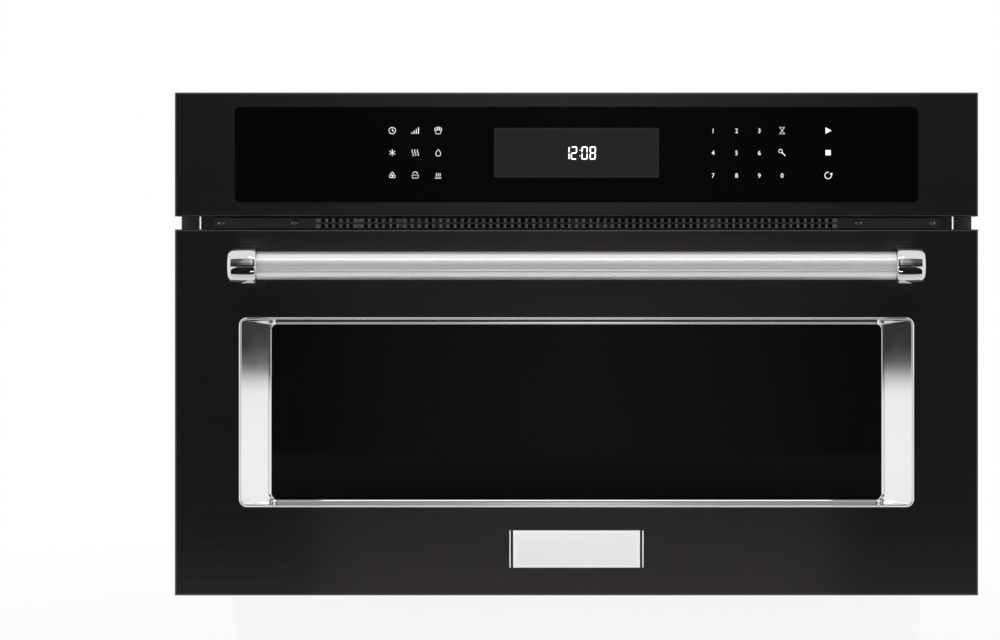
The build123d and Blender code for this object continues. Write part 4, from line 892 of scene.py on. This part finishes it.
def printStroke(bm, x, z, points, weight=1.0, closed=False):
    # points are in units of the sign's size, and a weight of 0 fills the outline
    s = panelPrint
    width = s["line"] * weight
    curve = bpy.data.curves.new("stroke", "CURVE")
    if weight:
        setAll(curve, dimensions="3D", bevel_depth=width / 2, bevel_resolution=1, use_fill_caps=True)
    else:
        setAll(curve, dimensions="2D", fill_mode="BOTH", extrude=s["thick"] / 2)
    spline = curve.splines.new("POLY")
    spline.points.add(len(points) - 1)
    for target, (across, up) in zip(spline.points, points):
        target.co = (x + across * s["sign"], z + up * s["sign"], 0, 1)
    spline.use_cyclic_u = closed or not weight
    curveToMesh(bm, curve, s["thick"] / width if weight else 1.0)


def printDigit(bm, x, z, digit):
    s = panelPrint
    curve = setAll(bpy.data.curves.new("digit", "FONT"), body=digit, size=s["digit"] * s["digitSize"],
                   align_x="CENTER", resolution_u=3, extrude=s["thick"] / 2, offset=s["bold"])
    curveToMesh(bm, curve, 1.0, x, z - s["digit"] / 2)


def arc(x, z, radius, start, stop, count):
    angles = [radians(start + (stop - start) * i / count) for i in range(count + 1)]
    return [(x + radius * cos(angle), z + radius * sin(angle)) for angle in angles]


def ring(x, z, radius, count=20):
    # a closed stroke
    return arc(x, z, radius, 0, 360 * (count - 1) / count, count - 1), 1.0, True


def makeSigns():
    # plain signs of what the keys do: points, the line's weight, and whether it closes
    cup = [(-0.95, 0), (-0.6, -1), (0.6, -1), (0.95, 0)]
    pan = [(-1, 0.1), (-0.8, -0.8), (0.8, -0.8), (1, 0.1)]
    apex = panelPrint["line"] / panelPrint["sign"] / 5  # parts the hour glass's two halves
    return {
        "cookTime": [ring(0, 0, 1), ([(0, 0.62), (0, 0), (0.5, -0.25)],)],
        "power": [([(0.66 * i - 1, -1), (0.66 * i - 1, 0.5 * i - 0.5)], 1.3) for i in range(4)],
        "popcorn": [ring(-0.63, 0.42, 0.42, 10), ring(0, 0.72, 0.42, 10), ring(0.63, 0.42, 0.42, 10),
                    (cup,)],
        "defrost": [([(-x, -z), (x, z)],) for x, z in arc(0, 0, 1, 30, 150, 2)],
        "reheat": [([(x + 0.22 * sin(i * pi / 4), i / 4 - 1) for i in range(9)],)
                   for x in (-0.8, 0, 0.8)],
        "soften": [([(0, 1.1)] + arc(0, -0.3, 0.75, 30, -210, 14), 1.0, True)],
        "convection": [ring(x, z, 0.46, 12) for x, z in arc(0, 0, 0.5, 90, 330, 2)],
        "steam": [(pan, 1.0, True), (arc(0, 0.3, 0.8, 10, 170, 8),)],
        "crisp": [([(-1, -0.8), (1, -0.8)], 1.3)] + [([(x, -0.3), (x, 0.7)],) for x in (-0.6, 0, 0.6)],
        "timer": [([(-0.8, up), (0.8, up), (0, apex * up)], 1.2, True) for up in (-1, 1)],
        "settings": [ring(-0.5, 0.5, 0.55, 12), ([(-0.1, 0.1), (1, -1)], 1.6)],
        "start": [([(-0.8, 1), (-0.8, -1), (1, 0)], 0)],
        "cancel": [([(-0.8, 0.8), (-0.8, -0.8), (0.8, -0.8), (0.8, 0.8)], 0)],
        "turntable": [(arc(0, 0, 1, 80, 380, 24), 1.3), ([(0.45, 0.55), (1.35, 0.75), (1.05, -0.05)], 0)],
    }


def printKeys():
    s = panelPrint
    bm = bmesh.new()
    signs = makeSigns()
    for x, keys in s["columns"].items():
        for drop, key in zip(s["rows"], keys):
            z = s["panelTop"] - drop
            if key.isdigit():
                printDigit(bm, x, z, key)
            else:
                for stroke in signs[key]:
                    printStroke(bm, x, z, *stroke)
    bmesh.ops.remove_doubles(bm, verts=bm.verts, dist=1e-7)
    finishPiece("key_prints", bm, "chassis", keyPrint)


def makeClock():
    s = clockSizes
    h, w, t, g = s["height"] / 2, s["width"] / 2, s["stroke"], s["gap"]
    y = panelPrint["surface"]
    bm = bmesh.new()

    def bar(x, z, halfLength, upright):
        # a short bar with pointed ends
        dx, dz = (t / 2, halfLength) if upright else (halfLength, t / 2)
        verts = block(bm, (x - dx, y - panelPrint["thick"], z - dz), (x + dx, y, z + dz))
        corners = {e for v in verts for e in v.link_edges
                   if (e.verts[0].co.xz - e.verts[1].co.xz).length < 1e-9}
        softenEdges(bm, list(corners), t * s["tip"], 1)

    # each segment's place in the digit, and whether it stands upright
    x, z = w - t / 2, h - t / 2
    places = {"a": (0, z, False), "g": (0, 0, False), "d": (0, -z, False), "b": (x, h / 2, True),
              "c": (x, -h / 2, True), "e": (-x, -h / 2, True), "f": (-x, h / 2, True)}
    for digit, middle in zip(s["digits"], s["middles"]):
        for name in s["segments"][digit]:
            dx, dz, upright = places[name]
            length = h / 2 - g - t / 4 if upright else w - t / 2 - g
            bar(middle + dx, s["z"] + dz, length, upright)
    for rise in (-s["colonRise"], s["colonRise"]):
        bar(s["colon"], s["z"] + h * rise, t / 2, True)
    lean = Matrix.Identity(4)
    lean[0][2] = s["lean"]
    bmesh.ops.transform(bm, matrix=lean, space=Matrix.Translation((0, 0, -s["z"])), verts=bm.verts)
    finishPiece("clock_digits", bm, "chassis", clockLight)


printKeys()
makeClock()
print("prints made")


# Turntable tray: pressed glass with rings underneath and a raised rim

traySizes = {
    "y": 0.17755,
    "steps": 144,
    "profile": [(0.0, 64.6), (20.0, 64.6), (21.5, 65.4), (96.0, 65.4), (98.0, 64.6), (112.0, 64.6),
                (114.0, 65.4), (134.0, 65.4), (138.0, 64.9), (143.0, 66.0), (150.0, 69.2),
                (158.0, 73.6), (163.0, 77.2), (164.6, 78.9), (165.0, 79.9), (164.6, 80.5),
                (163.6, 80.6), (162.6, 80.0), (160.5, 78.0), (153.0, 73.3), (146.0, 70.6),
                (140.0, 69.4), (134.0, 69.0), (132.0, 69.5), (130.0, 69.0), (100.0, 69.0), (98.0, 69.5),
                (96.0, 69.0), (60.0, 69.0), (58.0, 69.5), (56.0, 69.0), (0.0, 69.0)],
}


def makeTray():
    s = traySizes
    bm = bmesh.new()
    profile = [(z * mm, radius * mm) for radius, z in s["profile"]]
    turned(bm, profile, (0, s["y"], 0), (0, 0, 1), s["steps"])
    finishPiece("turntable_tray", bm, "turntable", trayGlass, 24, ["glass_tray"])


makeTray()
print("tray made")


# Hexagon screws that hold the chassis together

chassisScrewSizes = {
    "corner": 0.577,  # the hexagon's corner radius against its width
    "across": 0.0064,
    "height": 0.0022,
    "edge": 0.0003,
    # radius and height of the washer's outline, as shares of its own
    "washerShape": ((0.0, 0.0), (1.0, 0.0), (1.0, 0.7), (0.9, 1.0), (0.0, 1.0)),
    "washer": 0.0046,
    "washerHeight": 0.0008,
    "washerSteps": 20,
    "rearFace": 0.4401,
    # the screws' places in each row on the back, by its height
    "rear": {0.432: (-0.345, -0.172, 0.0, 0.172, 0.345), 0.300: (-0.349, 0.349),
             0.150: (-0.349, 0.349), 0.010: (-0.345, -0.172, 0.0, 0.172, 0.345)},
    "rearTurn": 17,  # degrees from one screw to the next
    "sideFace": 0.357225,
    "sideHeights": (0.012, 0.278),
    "sideDepths": (0.030, 0.160, 0.300, 0.420),
    "sideTurn": 23,
}


def hexScrew(bm, place):
    s = chassisScrewSizes
    washer = [(height * s["washerHeight"], radius * s["washer"]) for radius, height in s["washerShape"]]
    before = set(bm.verts)
    turned(bm, washer, (0, 0, 0), (0, 0, 1), s["washerSteps"])
    radius = s["across"] * s["corner"]
    head = bmesh.ops.create_cone(bm, cap_ends=True, segments=6, radius1=radius, radius2=radius,
                                 depth=s["height"])["verts"]
    bmesh.ops.translate(bm, vec=(0, 0, s["washerHeight"] + s["height"] / 2), verts=head)
    middle = s["washerHeight"] + s["height"] / 2
    rim = [e for e in bm.edges if all(v in head and v.co.z > middle for v in e.verts)]
    softenEdges(bm, rim, s["edge"])
    bmesh.ops.transform(bm, matrix=place, verts=[v for v in bm.verts if v not in before])


def makeChassisScrews():
    s = chassisScrewSizes
    bm = bmesh.new()

    def place(where, degrees, axis, turn):
        spin = Matrix.Rotation(radians(turn), 4, "Z")
        hexScrew(bm, Matrix.Translation(where) @ Matrix.Rotation(radians(degrees), 4, axis) @ spin)

    rear = [(x, z) for z, row in s["rear"].items() for x in row]
    for index, (x, z) in enumerate(rear):
        place((x, s["rearFace"], z), -90, "X", s["rearTurn"] * index)
    for side in (-1, 1):
        for z in s["sideHeights"]:
            for index, y in enumerate(s["sideDepths"]):
                place((side * s["sideFace"], y, z), side * 90, "Y", s["sideTurn"] * index)
    finishPiece("chassis_screws", bm, "chassis", zincPlated)


makeChassisScrews()
print("chassis screws made")


# Finishes of the CAD nodes

def dress(look, *names):
    for name in names:
        cadNodes[name].material_slots[0].material = look


dress(brushedMetal("dark_stainless", finish["darkSteel"], finish["darkSteelRoughness"], alongX, 0.06,
                   0.9), "control_panel_skin", "door_skin")
dress(trimSteel, "vent_trim")
dress(frameSteel, "front_frame")
dress(makeControlGlass(), "control_glass")
dress(clearGlass("window_glass", (0.24, 0.24, 0.25), 0.02), "window_glass")
dress(clearGlass("inner_glass", (0.82, 0.84, 0.84), 0.02), "inner_glass")
dress(makeScreen(), "door_screen")
dress(coatedSheet("door_inner_enamel", (0.022, 0.022, 0.023), 0.33, 0.10, 0.1, 0.3), "door_body")
dress(platedSheet("galvanised_sheet", finish["zinc"]), "outer_wrapper", "rear_panel", "base_pan")
dress(platedSheet("galvanised_inner", scaled(finish["zinc"], 0.92), 0.46, 150.0, 0.12),
      "component_deck", "waveguide")
dress(zincPlated, "hinge_claw_right", "hinge_claw_left", "hinge_channel_right", "hinge_channel_left",
      "hinge_pins", "interlock_bracket_right", "interlock_bracket_left", "latch_bar",
      "magnetron_yoke", "cavity_lamp", "turntable_motor")
dress(platedSheet("aluminised_sheet", (0.55, 0.55, 0.56), 0.5, 260.0, 0.08), "convection_housing")
dress(coatedSheet("cavity_enamel", finish["enamel"], 0.34, 0.10, 0.05, 0.3), "oven_cavity",
      "convection_cover")
dress(coatedSheet("heater_sheath", (0.085, 0.075, 0.07), 0.55, 0.3, 0.3), "convection_heater")
dress(brushedMetal("drawn_aluminium", (0.70, 0.71, 0.72), 0.36, (300, 300, 8), 0.08, 0.3, 0.0),
      "convection_fan", "magnetron_core", "high_voltage_capacitor")
dress(brushedMetal("motor_steel", (0.50, 0.50, 0.51), 0.38, (8, 500, 500), 0.08, 0.3),
      "convection_motor", "cooling_fan_motor")
dress(coatedSheet("varnished_iron", (0.07, 0.06, 0.055), 0.45, 0.3, 0.2), "transformer_core")
dress(brushedMetal("copper_wire", (0.62, 0.26, 0.12), 0.35, (60, 60, 2200), 0.2, 0.3, 0.0),
      "transformer_windings")
dress(makeBoard("phenolic_board", (0.45, 0.30, 0.12)), "power_board")
dress(makeBoard("fibre_board", (0.04, 0.16, 0.07)), "noise_filter_board")
dress(coatedSheet("mica", (0.47, 0.42, 0.33), 0.45, 0.2, 0.12), "mica_cover")
dress(mouldedPlastic("black_plastic", (0.016, 0.016, 0.017), 0.42), "choke_cover", "fan_shroud",
      "cooling_fan", "cord_gland", "panel_carrier", "display_module", "interlock_switches")
dress(mouldedPlastic("white_nylon", (0.72, 0.71, 0.68), 0.42, 0.12), "roller_wheel_1",
      "roller_wheel_2", "roller_wheel_3")
dress(mouldedPlastic("grey_plastic", (0.30, 0.30, 0.30), 0.5), "roller_ring", "turntable_coupler")
dress(mouldedPlastic("switch_plunger", (0.42, 0.03, 0.02), 0.4, 0.1), "primary_plunger",
      "secondary_plunger")
# these are replaced and hidden
dress(chrome, "window_bezel", "handle_tube", "handle_post_left", "handle_post_right", "badge_plate",
      "trim_screws", "glass_tray")
print("finishes set")


# Studio: a pale floor and plinth, a white surround and soft light

studio = {
    "floor": -0.1000,
    "floorHalf": 9.0,
    "paint": (0.90, 0.90, 0.90),
    "plinthLow": (-0.330, 0.020),
    "plinthHigh": (0.330, 0.425),
    "plinthTop": -0.0002,
    "plinthEdge": 0.003,
    "ambient": 0.42,
    "cameraDistance": 3.0,
    "cameraHeight": 0.320,
    "pixelsPerMetre": 1063.7,
    "picture": (1000, 640),
    "centre": (576.5, 344.0),  # pixel at the front's middle
    "frontPlane": -0.040,
    "frontLow": -0.012,
    "frontHigh": 0.4611,
    "sensor": 36.0,
    # distances from the object between which the floor turns from its first white share to its second
    "whiteFrom": (0.55, 1.60),
    "whiteShare": (0.86, 1.0),
    # place, target, width, height and power
    "lights": {
        "key_light": ((0.0, -1.7, 2.3), (0, 0, 0.2), 2.4, 1.2, 34.0),
        "left_light": ((-2.4, -1.0, 1.1), (0, 0.1, 0.2), 1.2, 1.6, 14.0),
        "right_light": ((2.4, -1.0, 1.1), (0, 0.1, 0.2), 1.2, 1.6, 14.0),
        "rear_light": ((0.0, 2.4, 2.0), (0, 0.2, 0.2), 2.4, 1.2, 26.0),
    },
}

# what bright metal and glass see round the camera: black low down, grey above it and white over that
# levels are pairs of a place along an axis and the light there
cardSizes = {
    "uprightY": -3.30,
    "lowHalf": 1.30,
    "lowUp": [(-0.10, 0.13), (0.16, 0.13), (0.38, 0.04), (0.60, 0.04)],
    "lowAcross": [(0.0, 1.0), (0.31, 0.75), (0.52, 0.41), (0.80, 0.30), (1.30, 0.30)],
    "wallHalf": 3.40,
    "wallUp": [(0.60, 0.30), (0.69, 0.50), (1.10, 0.38), (1.53, 0.80), (2.00, 1.0), (2.54, 0.85),
               (3.50, 1.0)],
    "wallAcross": [(0.0, 1.0), (0.10, 0.90), (0.24, 0.58), (0.45, 0.48), (0.68, 0.44), (0.90, 0.14),
                   (3.40, 0.05)],
    "runner": [(-0.045, 0.66), (-2.20, 0.74), (-7.0, 2.20)],  # depth and half width
    "runnerAlong": [(-7.0, 0.13), (-3.0, 0.10), (-1.5, 0.02), (-0.42, 0.012), (-0.37, 0.10),
                    (-0.31, 1.0), (-0.25, 0.62), (-0.18, 0.80), (-0.12, 0.95), (-0.045, 0.90)],
    "runnerAcross": [(0.0, 1.0), (0.60, 1.0), (0.80, 0.60), (2.20, 0.40)],
    "sidePlace": (1.20, -2.10),
    "sideTurn": 32.0,
    "sideHalf": 0.70,
    "sideUp": [(0.060, 1.0), (0.0845, 0.62), (0.106, 0.12), (0.128, 0.035), (0.60, 0.028)],
    "sideAcross": [(0.0, 1.0), (0.35, 1.0), (0.70, 1.0)],
    # strips that the handle's tube shows as lines: half length, depth, height, width, rise and level
    "strips": {"high": (0.325, -0.60, 0.98, 0.07, 0.028, 3.2),
               "low": (0.290, -0.62, -0.095, 0.05, 0.0, 5.0)},
}


def clearTree(owner):
    owner.use_nodes = True
    owner.node_tree.nodes.clear()
    return owner.node_tree


def seenDirectly(tree):
    path = addNode(tree, "LightPath").outputs
    either = mathNode(tree, "MAXIMUM", path["Is Camera Ray"], path["Is Glossy Ray"])
    return mathNode(tree, "MAXIMUM", either, path["Is Transmission Ray"])


def mixShaders(tree, share, first, second):
    inputs = {"Fac": share, 1: first.outputs[0], 2: second.outputs[0]}
    return addNode(tree, "MixShader", inputs).outputs[0]


def makeFloorLook():
    # whiter further from the object, so that the floor meets the surround without a line
    made = bpy.data.materials.new("studio_floor")
    tree = clearTree(made)
    away = addNode(tree, "VectorMath", {0: objectPlace(tree)}, operation="LENGTH")
    white = rangeNode(tree, away.outputs["Value"], *studio["whiteFrom"], *studio["whiteShare"])
    paint = addNode(tree, "BsdfDiffuse", {"Color": studio["paint"]})
    share = mathNode(tree, "MULTIPLY", seenDirectly(tree), white)
    surface = mixShaders(tree, share, paint, addNode(tree, "Emission"))
    addNode(tree, "OutputMaterial", {"Surface": surface})
    return made


def gradedLevel(tree, coordinate, stops):
    low, high = stops[0][0], stops[-1][0]
    ramp = addNode(tree, "ValToRGB", {"Fac": rangeNode(tree, coordinate, low, high)})
    elements = ramp.color_ramp.elements
    for place, level in stops[1:-1]:
        elements.new((place - low) / (high - low))
    for element, (place, level) in zip(elements, stops):
        element.position = (place - low) / (high - low)
        element.color = (level, level, level, 1)
    return ramp.outputs["Color"]


def makeCardLook(name, level=1.0, axis=None, along=(), across=()):
    # light of one level, or graded along an axis and outwards from the card's middle
    made = bpy.data.materials.new(name)
    tree = clearTree(made)
    if axis:
        level = mathNode(tree, "MULTIPLY", gradedLevel(tree, objectAxes(tree)[axis], along),
                         gradedLevel(tree, offCentre(tree, "X"), across))
    glow = addNode(tree, "Emission", {"Strength": level})
    addNode(tree, "OutputMaterial", {"Surface": glow.outputs[0]})
    return made


def addCard(name, corners, look):
    # a flat card that only reflections see; its corners come in order round it
    bm = bmesh.new()
    bm.faces.new([bm.verts.new(corner) for corner in corners])
    card = setAll(addObject(name, bm, look), visible_camera=False, visible_diffuse=False,
                  visible_shadow=False)
    return card


def uprightCorners(half, y, stops):
    low, high = stops[0][0], stops[-1][0]
    return [(-half, y, low), (half, y, low), (half, y, high), (-half, y, high)]


def makeCards():
    s = cardSizes
    for name in ("low", "wall"):
        up = s[name + "Up"]
        addCard("card_" + name, uprightCorners(s[name + "Half"], s["uprightY"], up),
                makeCardLook("card_" + name, axis="Z", along=up, across=s[name + "Across"]))
    z = studio["floor"] + mm
    rightEdge = [(half, y, z) for y, half in s["runner"]]
    leftEdge = [(-half, y, z) for y, half in s["runner"]]
    addCard("card_runner", leftEdge + rightEdge[::-1],
            makeCardLook("card_runner", axis="Y", along=s["runnerAlong"], across=s["runnerAcross"]))
    sideLook = makeCardLook("card_side", axis="Z", along=s["sideUp"], across=s["sideAcross"])
    for side, name in ((-1, "left"), (1, "right")):
        card = addCard("card_side_" + name, uprightCorners(s["sideHalf"], 0.0, s["sideUp"]), sideLook)
        card.location = (side * s["sidePlace"][0], s["sidePlace"][1], 0)
        card.rotation_euler = (0, 0, side * radians(s["sideTurn"]))
    for name, (half, y, z, width, rise, level) in s["strips"].items():
        near, far = (y - width / 2, z - rise), (y + width / 2, z + rise)
        addCard("card_strip_" + name, [(-half, *near), (half, *near), (half, *far), (-half, *far)],
                makeCardLook("card_strip_" + name, level))


def makeFloor():
    s = studio
    look = makeFloorLook()
    bm = bmesh.new()
    made = bmesh.ops.create_grid(bm, x_segments=1, y_segments=1, size=s["floorHalf"])
    bmesh.ops.translate(bm, vec=(0, 0, s["floor"]), verts=made["verts"])
    floor = addObject("floor", bm, look)
    bm = bmesh.new()
    block(bm, (*s["plinthLow"], s["floor"]), (*s["plinthHigh"], s["plinthTop"]))
    softenEdges(bm, bm.edges[:], s["plinthEdge"], 3)
    plinth = addObject("plinth", bm, look)


def makeSurround():
    # plain white where it is seen, and dimmer where it lights the object
    world = bpy.data.worlds.new("surround")
    bpy.context.scene.world = world
    tree = clearTree(world)
    dim = addNode(tree, "Background", {"Color": (1, 1, 1), "Strength": studio["ambient"]})
    white = addNode(tree, "Background", {"Color": (1, 1, 1), "Strength": 1.0})
    addNode(tree, "OutputWorld", {"Surface": mixShaders(tree, seenDirectly(tree), dim, white)})


def makeLight(name, place, target, width, height, power):
    data = setAll(bpy.data.lights.new(name, "AREA"), shape="RECTANGLE", size=width, size_y=height,
                  energy=power)
    aim = (Vector(target) - Vector(place)).to_track_quat("-Z", "Y")
    setAll(linked(name, data), location=place, rotation_mode="QUATERNION", rotation_quaternion=aim,
           visible_glossy=False)


def makeCamera():
    s = studio
    width, height = s["picture"]
    rise = s["pixelsPerMetre"] * ((s["frontLow"] + s["frontHigh"]) / 2 - s["cameraHeight"])
    data = setAll(bpy.data.cameras.new("camera"), sensor_width=s["sensor"],
                  lens=s["sensor"] * s["pixelsPerMetre"] * s["cameraDistance"] / width,
                  shift_x=(width / 2 - s["centre"][0]) / width,
                  shift_y=(s["centre"][1] - height / 2 + rise) / width)
    place = (0, s["frontPlane"] - s["cameraDistance"], s["cameraHeight"])
    bpy.context.scene.camera = setAll(linked("camera", data), location=place,
                                      rotation_euler=(pi / 2, 0, 0))


makeFloor()
makeSurround()
bpy.context.scene.view_settings.view_transform = "Standard"
makeCards()
for name, values in studio["lights"].items():
    makeLight(name, *values)
makeCamera()
print("studio made")
